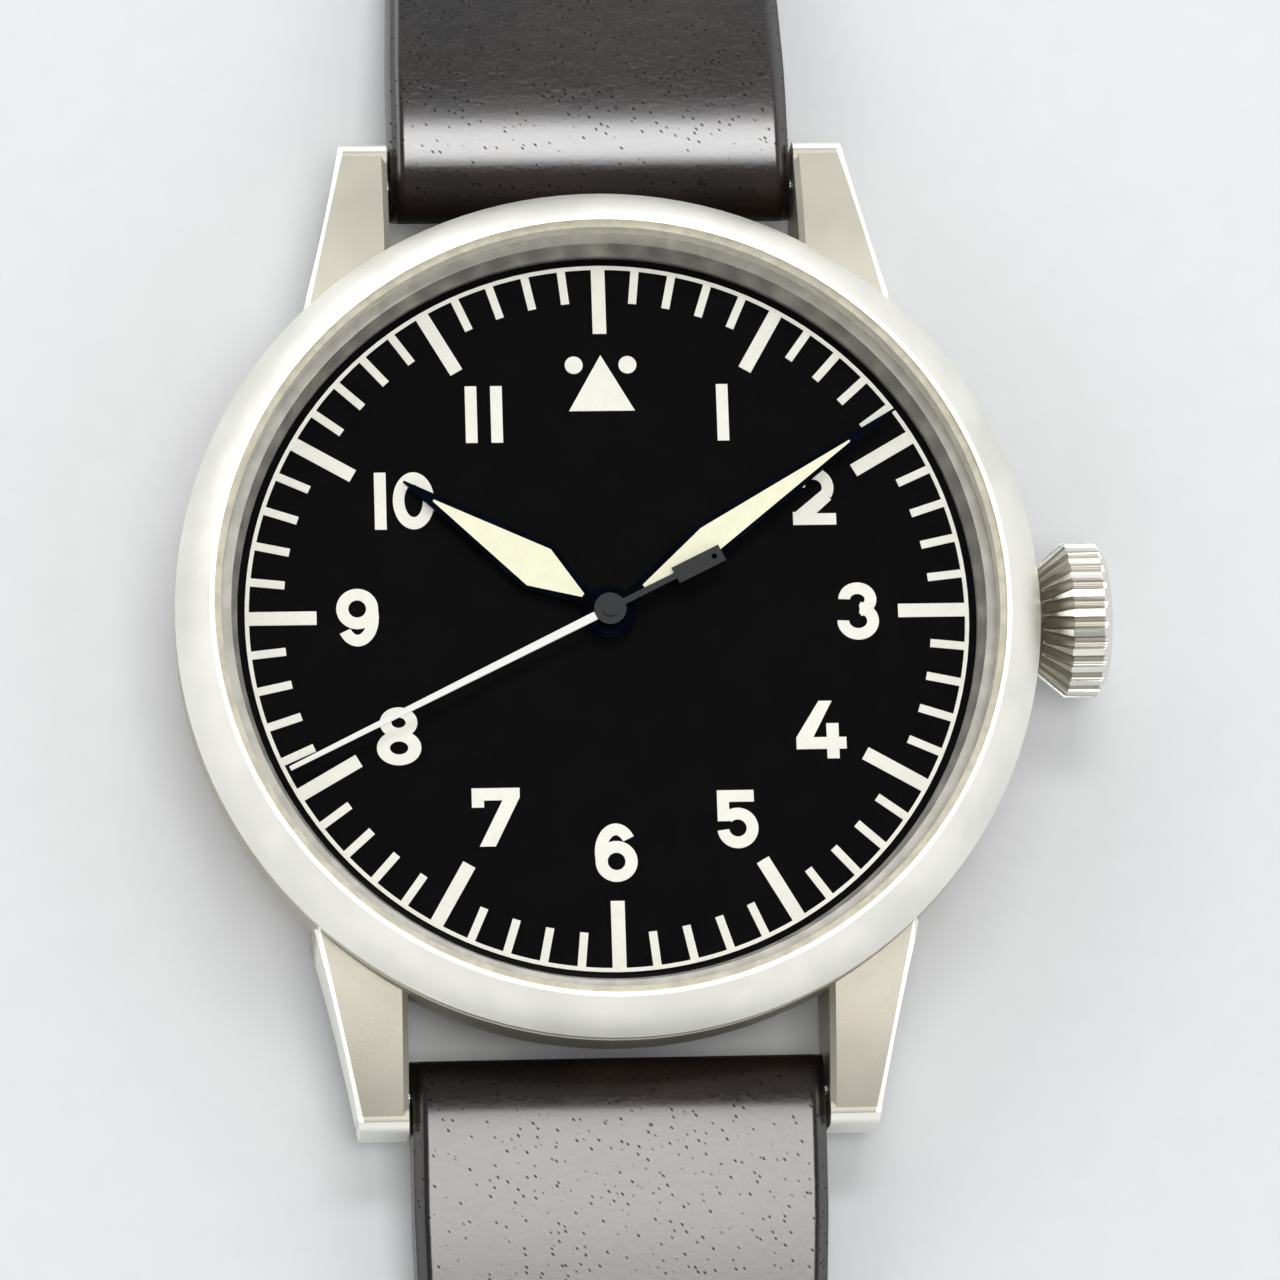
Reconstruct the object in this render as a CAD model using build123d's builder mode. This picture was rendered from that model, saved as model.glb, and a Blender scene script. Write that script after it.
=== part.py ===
from build123d import *
import os
from math import acos, asin, atan2, cos, degrees, hypot, pi, radians, sin

# Pilot watch, lying dial up with its strap open. Millimetres.
# Frame: +Z from the case back to the crystal, +Y to twelve o'clock, +X to the crown.
# The origin is the centre of the flat back, on the face that the watch rests on.

os.makedirs("parts", exist_ok=True)

# Case, as radii about the watch's axis and heights above the back
case_radius = 21.0
case_foot_inset = 1.3
case_foot_radius = case_radius - case_foot_inset
case_foot_z = 0.9
case_belly_z = 6.2
case_seam_z = 8.0
seam_bevel = 0.3
case_wall = 2.5
case_bore_radius = case_radius - case_wall
bezel_ledge = 1.1
neck_outer_radius = case_radius - bezel_ledge
neck_wall = 0.7
neck_inner_radius = neck_outer_radius - neck_wall
neck_height = 0.9
neck_top_z = case_seam_z + neck_height
dial_top_z = 7.3
fit_gap = 0.05
running_gap = 0.03
cut_overrun = 1.0

# Bezel, crystal, gasket and the ring between the dial and the crystal
bezel_edge_rise = 0.45
bezel_edge_z = case_seam_z + bezel_edge_rise
bezel_lip = 0.22
bezel_crown = 0.14
bezel_foot_bevel = 0.15
bezel_overhang = 0.08
bezel_inner_radius = neck_inner_radius - bezel_overhang
gasket_width = 0.32
crystal_radius = bezel_inner_radius - gasket_width
crystal_seat = 0.1
crystal_bottom_z = neck_top_z + crystal_seat
crystal_edge = 1.2
crystal_edge_z = crystal_bottom_z + crystal_edge
bezel_rim = 0.15
bezel_top_z = crystal_edge_z + bezel_rim
crystal_bevel = 0.5
crystal_bevel_rise = 0.22
crystal_dome = 0.3
gasket_drop = 0.12
gasket_top_z = crystal_edge_z - gasket_drop
rehaut_foot_width = 1.2
rehaut_foot_radius = neck_inner_radius - rehaut_foot_width
rehaut_mouth_width = 0.9
rehaut_mouth_radius = neck_inner_radius - rehaut_mouth_width
rehaut_top_z = neck_top_z + fit_gap

# Lugs and spring bars
lug_gap = 20.3
lug_reach = 3.8
lug_tip_y = case_radius + lug_reach
lug_tip_width = 2.35
lug_root_depth = 7.5
lug_root_y = case_radius - lug_root_depth
lug_root_shares = (0.6952, 0.7238)
lug_root_outer_x, lug_root_outer_y = (share * case_radius for share in lug_root_shares)
lug_waist = 0.12
lug_root_top_z = 7.35
lug_mid_top_z = 6.75
lug_nose_top_z = 5.25
lug_nose_radius = 0.75
lug_nose_base_z = 1.7
lug_belly_z = 1.2
lug_bevel = 0.28
bar_inset = 1.9
bar_y = lug_tip_y - bar_inset
bar_z = 3.4
bar_tube_radius = 0.9
bar_tube_wall = 0.4
bar_tube_bore = bar_tube_radius - bar_tube_wall
bar_tube_inset = 1.85
bar_tube_half = lug_gap / 2 - bar_tube_inset
bar_pin_slack = 0.1
bar_pin_radius = bar_tube_bore - bar_pin_slack
bar_pin_travel = 1.2
bar_pin_hold = 1.8
bar_pin_inner_x = bar_tube_half - bar_pin_hold
bar_pin_reach = 1.05
bar_pin_tip_x = lug_gap / 2 + bar_pin_reach
bar_flange_inset = 0.15
bar_flange_radius = bar_tube_radius - bar_flange_inset
bar_flange_x = bar_tube_half + bar_pin_travel + fit_gap
bar_flange_width = 0.35
bar_spring_slack = 0.1
bar_spring_half = bar_pin_inner_x - bar_pin_travel - bar_spring_slack
bar_spring_wall = 0.12
bar_hole_room = 0.2
bar_hole_depth = bar_pin_reach + bar_hole_room

# Case back
back_flange_inset = 0.4
back_flange_radius = case_foot_radius - back_flange_inset
back_flange_bevel = 0.35
back_thread_radius = case_bore_radius - fit_gap
back_collar = 1.3
back_top_z = case_foot_z + back_collar
back_ring_width = 4.15
back_glass_radius = back_thread_radius - back_ring_width
back_glass_thickness = 1.2
back_glass_seat = 0.8
back_notch_count = 6
back_notch_length = 2.4
back_notch_depth = 0.45
back_notch_width = 0.9
back_gasket_inset = 0.25
back_gasket_inner = case_bore_radius + back_gasket_inset
back_gasket_width = 0.4
back_gasket_outer = back_gasket_inner + back_gasket_width
back_gasket_height = 0.35

# Crown, its tube and the winding stem, on the axis at the height stem_z
stem_z = 4.7
stem_radius = 0.6
stem_pilot_radius = 0.35
stem_inner_x = 5.3
stem_pilot_end_x = 7.0
stem_square = 0.84
stem_square_end_x = 8.85
stem_groove_x = 10.5
stem_groove_width = 0.8
stem_groove_radius = 0.32
crown_gap = 0.3
crown_face_x = case_radius + crown_gap
crown_cone_length = 1.3
crown_shoulder_x = crown_face_x + crown_cone_length
crown_grip_length = 1.55
crown_rim_x = crown_shoulder_x + crown_grip_length
crown_bevel_length = 0.45
crown_bevel_x = crown_rim_x + crown_bevel_length
crown_dome_rise = 0.35
crown_end_x = crown_bevel_x + crown_dome_rise
crown_radius = 3.8
crown_cone_drop = 1.15
crown_root_radius = crown_radius - crown_cone_drop
crown_bevel_drop = 0.6
crown_cap_radius = crown_radius - crown_bevel_drop
crown_skin = 0.65
stem_end_x = crown_end_x - crown_skin
crown_flutes = 24
flute_radius = 0.33
flute_offset = 0.06
stem_clearance = 0.15
tube_inner_radius = stem_radius + stem_clearance
tube_wall = 0.45
tube_outer_radius = tube_inner_radius + tube_wall
crown_gasket_room = 0.35
crown_socket_radius = tube_outer_radius + crown_gasket_room
crown_wall = 1.35
crown_socket_end_x = crown_end_x - crown_wall
tube_end_gap = 0.25
tube_end_x = crown_socket_end_x - tube_end_gap
crown_gasket_inset = 0.2
crown_gasket_x = crown_face_x + crown_gasket_inset
crown_gasket_width = 0.4

# Dial and its printing
dial_gap = 0.25
dial_radius = case_bore_radius - dial_gap
dial_thickness = 0.4
dial_bore = 0.85
dial_foot_radius = 0.35
dial_foot_length = 0.6
print_height = 0.06
track_inset = 0.37
track_radius = rehaut_foot_radius - track_inset
track_width = 0.2
minute_width = 0.4
minute_length = 1.87
minute_inner_radius = track_radius - minute_length
hour_bar_width = 0.67
hour_bar_length = 3.47
hour_bar_inner_radius = track_radius - hour_bar_length
triangle_inset = 4.56
triangle_apex_y = track_radius - triangle_inset
triangle_height = 2.83
triangle_base_y = triangle_apex_y - triangle_height
triangle_width = 3.23
dot_radius = 0.44
dot_x = 1.32
dot_drop = 0.5
dot_y = triangle_apex_y - dot_drop
numeral_inset = 5.88
numeral_radius = track_radius - numeral_inset
numeral_height = 2.86
numeral_stroke_share = 0.2

# Hands: clock angles as in the photograph, nine minutes past ten
hour_angle = 304.1
minute_angle = 55.2
seconds_angle = 243.8
hand_step = 0.4
hour_hand_z = dial_top_z + hand_step
minute_hand_z = hour_hand_z + hand_step
seconds_hand_z = minute_hand_z + hand_step
hand_thickness = 0.16
seconds_thickness = 0.12
hour_overlap = 0.12
hour_tip = numeral_radius + hour_overlap
hour_wide_at = 4.05
hour_wide = 2.6
hour_neck_at = 0.9
hour_neck = 0.5
hour_point = 1.73
hour_lume_tip = hour_tip - hour_point
hour_lume_base = 1.5
hour_lume_wide = 2.16
hour_lume_neck = 0.2
hour_hub_radius = 1.3
minute_tip_gap = 0.21
minute_tip = track_radius - minute_tip_gap
minute_wide_at = 6.05
minute_wide = 1.84
minute_neck_at = 0.8
minute_neck = 0.45
minute_point = 2.78
minute_lume_tip = minute_tip - minute_point
minute_lume_base = 2.05
minute_lume_wide = 1.42
minute_lume_neck = 0.16
minute_hub_radius = 1.15
seconds_tip_gap = 0.24
seconds_tip = track_radius - seconds_tip_gap
seconds_root_width = 0.42
seconds_tip_width = 0.22
seconds_tail = 6.16
seconds_weight_start = 3.6
seconds_weight_width = 0.86
seconds_tail_width = 0.3
seconds_weight_hole = 0.14
seconds_hub_radius = 0.78
seconds_hub_height = 0.22
hand_point_width = 0.1

# Movement: plate, bridges and their heights above the back
movement_radius = 12.8
holder_gap = 0.05
plate_bottom_z = 4.9
plate_top_z = dial_top_z - dial_thickness
bridge_bottom_z = 2.7
bridge_inset = 0.1
bridge_radius = movement_radius - bridge_inset
barrel_bridge_top_z = 4.05
train_bridge_top_z = 3.4
cock_top_z = 3.0
motion_floor_z = 6.0
keyless_ceiling_z = 6.05
keyless_inset = 0.5
keyless_end_x = movement_radius - keyless_inset
stem_boss_z = 4.1
stem_boss_half = 0.7
stem_boss_x = 5.9
barrel_ceiling_z = 5.6
bridge_split = 0.3
train_wall_inset = 1.8
train_wall_radius = movement_radius - train_wall_inset
barrel_wall_inset = 1.1
barrel_wall_radius = movement_radius - barrel_wall_inset
dial_foot_inset = 0.9
dial_foot_ring = movement_radius - dial_foot_inset
pivot_radius = 0.12
arbor_radius = 0.16
jewel_radius = 0.5
pallet_bridge_z = 3.95
pallet_bridge_height = 0.3
pallet_bridge_width = 1.0
pallet_bridge_half = 2.35
pallet_foot_half = 0.4

# Wheels of the train: counts and modules
barrel_teeth = 72
barrel_module = 0.14
centre_pinion_leaves = 12
centre_teeth = 64
centre_module = 0.125
third_pinion_leaves = 8
third_teeth = 60
fourth_pinion_leaves = 8
fourth_teeth = 60
fourth_module = 0.135
escape_pinion_leaves = 6
escape_teeth = 15
cannon_leaves = 12
minute_teeth = 36
motion_module = 0.1
minute_pinion_leaves = 10
hour_teeth = 40
setting_teeth = 18
winding_leaves = 12
crown_wheel_teeth = 24
ratchet_teeth = 36
winding_wheel_module = 0.2
tooth_tip_share = 0.85
tooth_root_share = 1.2

# Directions, in degrees from +X, of the wheels about the watch's axis
third_direction = 285.0
escape_direction = 200.0
balance_direction = 195.0
minute_wheel_direction = -20.0
setting_wheel_direction = 10.0

# Heights of the wheels
wheel_thickness = 0.15
centre_pinion_z = 5.0
centre_pinion_height = 0.4
centre_wheel_z = 4.15
third_pinion_z = 4.08
third_pinion_height = 0.3
third_wheel_z = 3.5
fourth_pinion_z = 3.46
fourth_pinion_height = 0.27
fourth_wheel_z = 3.85
escape_pinion_z = 3.8
escape_pinion_height = 0.26
escape_wheel_z = 4.42
train_pivot_z = 3.0
plate_pivot_z = 5.3
centre_arbor_radius = 0.45
centre_arbor_bore = 0.2
pipe_rise = 0.2
cannon_pipe_top_z = minute_hand_z + pipe_rise
hour_pipe_radius = 0.75
hour_pipe_bore = 0.48
hour_pipe_top_z = hour_hand_z + pipe_rise
minute_wheel_z = 6.05
minute_wheel_thickness = 0.2
minute_pinion_z = 6.25
minute_pinion_height = 0.45
hour_wheel_z = 6.4
hour_wheel_thickness = 0.2
motion_post_radius = 0.2
motion_post_top_z = 6.8
seconds_arbor_top_z = seconds_hand_z + seconds_thickness

# Barrel, its arbor and mainspring
barrel_bottom_z = 4.4
barrel_top_z = 5.5
barrel_wall = 0.35
barrel_drum_radius = 4.85
barrel_teeth_z = 5.1
barrel_teeth_height = 0.2
barrel_arbor_radius = 0.75
barrel_core_radius = 1.1
barrel_arbor_square = 0.9
mainspring_width = 0.14
mainspring_pitch = 0.62
mainspring_turns = 5

# Winding works
ratchet_z = 3.0
ratchet_thickness = 0.35
wheel_recess_z = 3.38
crown_wheel_x = 8.2
crown_wheel_y = 2.0
crown_wheel_bore = 0.7
crown_wheel_screw_radius = 1.1
ratchet_cap_radius = 1.0
ratchet_cap_height = 0.22
winding_pinion_x = 8.9
winding_pinion_length = 1.4
winding_pinion_radius = 1.28
winding_slot_half = 1.25
sliding_pinion_x = 7.2
sliding_pinion_length = 1.6
sliding_pinion_radius = 1.1
sliding_groove_width = 0.4
sliding_groove_radius = 0.78
clutch_travel = 0.5
yoke_z = 5.0
yoke_thickness = 0.3
yoke_end_y = -4.6
yoke_head_width = 1.6
lever_z = 5.4
lever_thickness = 0.3
lever_pivot_x = 11.0
lever_pivot_y = -3.2
lever_pin_radius = 0.22
lever_eye_radius = 0.62
lever_pin_gap = 0.08
lever_post_radius = 0.3
click_direction = 152.0
click_reach = 5.0
click_tip_radius = 3.8
click_eye_radius = 0.6

# Escapement and balance
escape_tip_radius = 1.88
escape_root_radius = 1.45
escape_rim = 0.25
pallet_distance = 2.19
pallet_balance_distance = 2.21
fork_thickness = 0.16
fork_arm_width = 0.3
fork_stone_width = 0.3
fork_stone_gap = 0.08
fork_end_gap = 0.5
balance_radius = 3.8
balance_rim = 0.42
balance_z = 3.35
balance_height = 0.4
balance_arms = 3
balance_arm_width = 0.4
roller_radius = 0.6
roller_z = 3.97
roller_height = 0.1
impulse_pin_radius = 0.09
impulse_pin_ring = 0.42
impulse_pin_end_z = 4.36
hairspring_z = 3.1
hairspring_height = 0.14
hairspring_width = 0.07
hairspring_pitch = 0.52
hairspring_turns = 3
collet_radius = 0.42
stud_radius = 0.12

# Screws of the movement
screw_head_radius = 0.85
screw_head_height = 0.28
screw_slot_width = 0.2
screw_slot_depth = 0.14
screw_shank_radius = 0.4
screw_inset = 1.15
screw_ring = movement_radius - screw_inset
screw_end_z = 5.4

# Strap
strap_side_gap = 0.2
strap_width = lug_gap - 2 * strap_side_gap
strap_taper = 1.9
strap_narrow_width = strap_width - strap_taper
strap_full_length = 6.0
strap_taper_length = 28.0
strap_bar_bore = bar_tube_radius + fit_gap
strap_loop_wall = 0.8
strap_loop_radius = strap_bar_bore + strap_loop_wall
strap_thickness = 2.7
strap_tip_thickness = 2.1
strap_slope_run = 18.0
buckle_half_length = 76.0
hole_half_length = 115.0
strap_rise_run = 16.0
strap_lift = 1.5
strap_arch = 1.6
strap_tip_round = 9.0
strap_hole_radius = 1.0
strap_hole_pitch = 6.5
strap_holes = 8
strap_hole_first = 22.0
tongue_slot_width = 3.4
tongue_slot_length = 7.0

# Buckle and keepers
buckle_bar_radius = 0.75
buckle_bar_gap = 0.06
buckle_loop_wall = 1.04
buckle_loop_radius = buckle_bar_radius + buckle_bar_gap + buckle_loop_wall
buckle_frame_rung = 2.4
buckle_frame_arm = 2.0
buckle_side_room = 1.2
buckle_frame_half = strap_narrow_width / 2 + buckle_side_room + buckle_frame_arm
buckle_frame_reach = 10.5
buckle_frame_back = 1.9
buckle_frame_height = 2.3
buckle_corner = 2.2
buckle_arm_gap = 0.35
tongue_width = 2.2
tongue_thickness = 1.0
tongue_eye_radius = 1.45
tongue_overhang = 0.6
tongue_rise = 0.06
keeper_length = 6.0
keeper_wall = 1.2
keeper_side_gap = 0.25
keeper_under_gap = 0.2
keeper_head_room = 2.6
keeper_corner = 1.0
fixed_keeper_back = 8.0
sliding_keeper_back = 17.0

stem_plane = Plane(origin=(0, 0, stem_z), x_dir=(0, 1, 0), z_dir=(1, 0, 0))
stem_axis = Axis((0, 0, stem_z), (1, 0, 0))


def polar(radius, angle, origin=(0, 0)):
    """A point at a radius and an angle in degrees from +X about an origin."""
    return (origin[0] + radius * cos(radians(angle)), origin[1] + radius * sin(radians(angle)))


def export(piece, name):
    """Labels a finished piece and writes its file."""
    piece.part.label = name
    export_step(piece.part, f"parts/{name}.step")


def disc(radius, low, high, centre=(0, 0), bore=0.0):
    """A round post or washer, upright, as a part."""
    with BuildPart() as body:
        with BuildSketch(Plane.XY.offset(low)):
            with Locations(centre):
                Circle(radius)
                if bore > 0:
                    Circle(bore, mode=Mode.SUBTRACT)
        extrude(amount=high - low)
    return body.part


def turned(points):
    """A solid turned about the watch's axis from (radius, height) points."""
    with BuildPart() as body:
        with BuildSketch(Plane.XZ):
            with BuildLine():
                Polyline(*points, close=True)
            make_face()
        revolve(axis=Axis.Z)
    return body.part


def stem_turned(points):
    """A solid turned about the stem from (x, radius) points."""
    with BuildPart() as body:
        with BuildSketch(Plane.XZ):
            with BuildLine():
                Polyline(*[(x, stem_z + radius) for x, radius in points], close=True)
            make_face()
        revolve(axis=stem_axis)
    return body.part


def tooth_points(teeth, module, tooth_at):
    """Corners of a ring of straight-sided teeth, one tooth centred on an angle."""
    pitch_radius = teeth * module / 2
    root = pitch_radius - tooth_root_share * module
    tip = pitch_radius + tooth_tip_share * module
    step = 360 / teeth
    corner_shares = ((root, -0.28), (tip, -0.12), (tip, 0.12), (root, 0.28))
    return [
        polar(radius, tooth_at + (index + share) * step)
        for index in range(teeth)
        for radius, share in corner_shares
    ]


def gear(teeth, module, low, height, centre=(0, 0), tooth_at=0.0, spokes=0, hub=0.0, bore=0.0):
    """A toothed wheel or pinion as a part, with spokes where a count is given."""
    root = teeth * module / 2 - tooth_root_share * module
    window = root - 2 * module
    with BuildPart() as wheel:
        with BuildSketch(Plane.XY.offset(low)):
            with BuildLine():
                Polyline(*tooth_points(teeth, module, tooth_at), close=True)
            make_face()
            if spokes:
                Circle(window, mode=Mode.SUBTRACT)
                Circle(hub)
                with PolarLocations((window + hub) / 2, spokes, start_angle=tooth_at):
                    Rectangle(window - hub + module, 2 * module)
            if bore > 0:
                Circle(bore, mode=Mode.SUBTRACT)
        extrude(amount=height)
    return wheel.part.moved(Location((*centre, 0)))


def spiral(inner, pitch, turns, width, low, height, centre=(0, 0), turn=0.0):
    """A flat spiral spring as one ribbon of half turns about two centres."""
    with BuildPart() as body:
        with BuildSketch(Plane.XY.offset(low)):
            with BuildLine() as path:
                for half in range(2 * turns):
                    radius = inner + half * pitch / 2
                    middle = pitch / 4 if half % 2 else -pitch / 4
                    CenterArc((middle, 0), radius, 180 * (half % 2), 180)
            trace(path.line, line_width=width)
        extrude(amount=height)
    return body.part.moved(Location((*centre, 0), (0, 0, turn)))


# Case middle with its four lugs
with BuildPart() as lugs:
    with BuildSketch(Plane.XY):
        with BuildLine():
            inner_x = lug_gap / 2
            outer_x = inner_x + lug_tip_width
            tip = (outer_x, lug_tip_y)
            root = (lug_root_outer_x, lug_root_outer_y)
            waist = ((tip[0] + root[0]) / 2 - lug_waist, (tip[1] + root[1]) / 2)
            Polyline(root, (lug_root_outer_x, lug_root_y), (inner_x, lug_root_y), (inner_x, lug_tip_y), tip)
            ThreePointArc(tip, waist, root)
        make_face()
    extrude(amount=neck_top_z)
    with BuildSketch(Plane.YZ):
        with BuildLine():
            nose_start = (lug_tip_y - lug_nose_radius, lug_nose_top_z)
            nose_end = (lug_tip_y, lug_nose_top_z - lug_nose_radius)
            top_mid = ((lug_root_y + nose_start[0]) / 2, lug_mid_top_z)
            ThreePointArc((lug_root_y, lug_root_top_z), top_mid, nose_start)
            ThreePointArc(nose_start, polar(lug_nose_radius, 45, (nose_start[0], nose_end[1])), nose_end)
            Polyline(
                nose_end,
                (lug_tip_y, lug_nose_base_z + lug_bevel),
                (lug_tip_y - lug_bevel, lug_nose_base_z),
                (lug_root_y, lug_belly_z),
                (lug_root_y, lug_root_top_z),
            )
        make_face()
    extrude(amount=case_radius, mode=Mode.INTERSECT)
    long_edges = lugs.faces().sort_by(Axis.Z)[-1].edges().sort_by(Axis.X)
    chamfer([long_edges[0], long_edges[-1]], lug_bevel)
    mirror(about=Plane.YZ)
    mirror(about=Plane.XZ)

with BuildPart() as case_middle:
    with BuildSketch(Plane.XZ):
        with BuildLine():
            Polyline((0, case_foot_z), (case_foot_radius, case_foot_z))
            TangentArc((case_radius, case_belly_z), (case_foot_radius, case_foot_z), tangent=(0, -1))
            Polyline(
                (case_radius, case_belly_z),
                (case_radius, case_seam_z - seam_bevel),
                (case_radius - seam_bevel, case_seam_z),
                (neck_outer_radius, case_seam_z),
                (neck_outer_radius, neck_top_z),
                (0, neck_top_z),
                (0, case_foot_z),
            )
        make_face()
    revolve(axis=Axis.Z)
    add(lugs.part)
    add(
        turned(
            (
                (0, case_foot_z - cut_overrun),
                (case_bore_radius, case_foot_z - cut_overrun),
                (case_bore_radius, dial_top_z),
                (neck_inner_radius, dial_top_z),
                (neck_inner_radius, neck_top_z + cut_overrun),
                (0, neck_top_z + cut_overrun),
            )
        ),
        mode=Mode.SUBTRACT,
    )
    with BuildSketch(Plane.XY.offset(case_foot_z)):
        Circle(back_gasket_outer + fit_gap)
        Circle(back_gasket_inner - fit_gap, mode=Mode.SUBTRACT)
    extrude(amount=back_gasket_height + fit_gap, mode=Mode.SUBTRACT)
    with BuildSketch(stem_plane.offset(case_bore_radius - cut_overrun)):
        Circle(tube_outer_radius)
    extrude(amount=case_radius - case_bore_radius + 2 * cut_overrun, mode=Mode.SUBTRACT)
    with BuildSketch(Plane.YZ.offset(-lug_gap / 2 - bar_hole_depth)):
        with Locations((bar_y, bar_z), (-bar_y, bar_z)):
            Circle(bar_pin_radius + fit_gap)
    extrude(amount=lug_gap + 2 * bar_hole_depth, mode=Mode.SUBTRACT)
export(case_middle, "case_middle")

# Bezel: a broad sloped band, slightly crowned, pressed over the case's neck
with BuildPart() as bezel:
    with BuildSketch(Plane.XZ):
        with BuildLine():
            outer = (case_radius, bezel_edge_z)
            rim = (bezel_inner_radius + bezel_lip, bezel_top_z)
            slope = hypot(rim[0] - outer[0], rim[1] - outer[1])
            swell = (
                (outer[0] + rim[0]) / 2 + bezel_crown * (rim[1] - outer[1]) / slope,
                (outer[1] + rim[1]) / 2 + bezel_crown * (outer[0] - rim[0]) / slope,
            )
            ThreePointArc(outer, swell, rim)
            Polyline(
                rim,
                (bezel_inner_radius, bezel_top_z),
                (bezel_inner_radius, neck_top_z + fit_gap),
                (neck_outer_radius + fit_gap, neck_top_z + fit_gap),
                (neck_outer_radius + fit_gap, case_seam_z),
                (case_radius - bezel_foot_bevel, case_seam_z),
                (case_radius, case_seam_z + bezel_foot_bevel),
                outer,
            )
        make_face()
    revolve(axis=Axis.Z)
export(bezel, "bezel")

with BuildPart() as crystal:
    with BuildSketch(Plane.XZ):
        with BuildLine():
            shoulder = (crystal_radius - crystal_bevel, crystal_edge_z + crystal_bevel_rise)
            summit = (0, shoulder[1] + crystal_dome)
            Polyline(summit, (0, crystal_bottom_z), (crystal_radius, crystal_bottom_z))
            Polyline((crystal_radius, crystal_bottom_z), (crystal_radius, crystal_edge_z), shoulder)
            TangentArc(summit, shoulder, tangent=(1, 0))
        make_face()
    revolve(axis=Axis.Z)
export(crystal, "crystal")

with BuildPart() as crystal_gasket:
    add(disc(bezel_inner_radius, neck_top_z + fit_gap, gasket_top_z, bore=crystal_radius))
export(crystal_gasket, "crystal_gasket")

with BuildPart() as rehaut_ring:
    add(
        turned(
            (
                (rehaut_foot_radius, dial_top_z),
                (neck_inner_radius, dial_top_z),
                (neck_inner_radius, neck_top_z),
                (rehaut_mouth_radius, rehaut_top_z),
                (rehaut_foot_radius, dial_top_z + dial_thickness),
            )
        )
    )
export(rehaut_ring, "rehaut_ring")

# Case back: screwed ring with six key notches, window and gasket
with BuildPart() as case_back:
    add(
        turned(
            (
                (back_glass_radius + fit_gap, 0),
                (back_flange_radius - back_flange_bevel, 0),
                (back_flange_radius, back_flange_bevel),
                (back_flange_radius, case_foot_z),
                (back_thread_radius, case_foot_z),
                (back_thread_radius, back_top_z),
                (back_glass_radius - back_glass_seat, back_top_z),
                (back_glass_radius - back_glass_seat, back_glass_thickness),
                (back_glass_radius + fit_gap, back_glass_thickness),
            )
        )
    )
    with BuildSketch(Plane.XY):
        with PolarLocations(back_flange_radius - back_notch_width / 2, back_notch_count):
            Rectangle(back_notch_width, back_notch_length)
    extrude(amount=back_notch_depth, mode=Mode.SUBTRACT)
export(case_back, "case_back")

with BuildPart() as back_crystal:
    add(disc(back_glass_radius, 0, back_glass_thickness))
export(back_crystal, "back_crystal")

with BuildPart() as case_back_gasket:
    add(
        disc(
            back_gasket_outer,
            case_foot_z,
            case_foot_z + back_gasket_height,
            bore=back_gasket_inner,
        )
    )
export(case_back_gasket, "case_back_gasket")

# Crown: an onion-shaped knob with flutes over its cone and cylinder
with BuildPart() as crown:
    with BuildSketch(Plane.XZ):
        with BuildLine():
            Polyline(
                (crown_end_x, stem_z),
                (crown_face_x, stem_z),
                (crown_face_x, stem_z + crown_root_radius),
                (crown_shoulder_x, stem_z + crown_radius),
                (crown_rim_x, stem_z + crown_radius),
                (crown_bevel_x, stem_z + crown_cap_radius),
            )
            TangentArc((crown_end_x, stem_z), (crown_bevel_x, stem_z + crown_cap_radius), tangent=(0, 1))
        make_face()
    revolve(axis=stem_axis)
    with BuildSketch(stem_plane.offset(crown_shoulder_x)):
        with PolarLocations(crown_radius + flute_offset, crown_flutes):
            Circle(flute_radius)
    extrude(amount=crown_end_x - crown_shoulder_x, mode=Mode.SUBTRACT)
    cone_drop = crown_radius - crown_root_radius
    cone_run = crown_shoulder_x - crown_face_x
    for index in range(crown_flutes):
        side, rise = polar(1, index * 360 / crown_flutes)
        start_radius = crown_radius + flute_offset
        start = (crown_shoulder_x, start_radius * side, stem_z + start_radius * rise)
        with BuildSketch(Plane(origin=start, z_dir=(-cone_run, -cone_drop * side, -cone_drop * rise))):
            Circle(flute_radius)
        extrude(amount=hypot(cone_run, cone_drop) + flute_radius, mode=Mode.SUBTRACT)
    with BuildSketch(stem_plane.offset(crown_face_x)):
        Circle(crown_socket_radius)
    extrude(amount=crown_socket_end_x - crown_face_x, mode=Mode.SUBTRACT)
    with BuildSketch(stem_plane.offset(crown_socket_end_x)):
        Circle(stem_radius)
    extrude(amount=stem_end_x - crown_socket_end_x, mode=Mode.SUBTRACT)
export(crown, "crown")

with BuildPart() as crown_gasket:
    add(
        stem_turned(
            (
                (crown_gasket_x, tube_outer_radius + running_gap),
                (crown_gasket_x + crown_gasket_width, tube_outer_radius + running_gap),
                (crown_gasket_x + crown_gasket_width, crown_socket_radius - running_gap),
                (crown_gasket_x, crown_socket_radius - running_gap),
            )
        )
    )
export(crown_gasket, "crown_gasket")

with BuildPart() as crown_tube:
    add(
        stem_turned(
            (
                (case_bore_radius, tube_inner_radius),
                (tube_end_x, tube_inner_radius),
                (tube_end_x, tube_outer_radius),
                (case_bore_radius, tube_outer_radius),
            )
        )
    )
    # The tube's inner end is cut to the case's bore.
    add(disc(case_bore_radius, 0, case_seam_z), mode=Mode.SUBTRACT)
export(crown_tube, "crown_tube")

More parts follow.
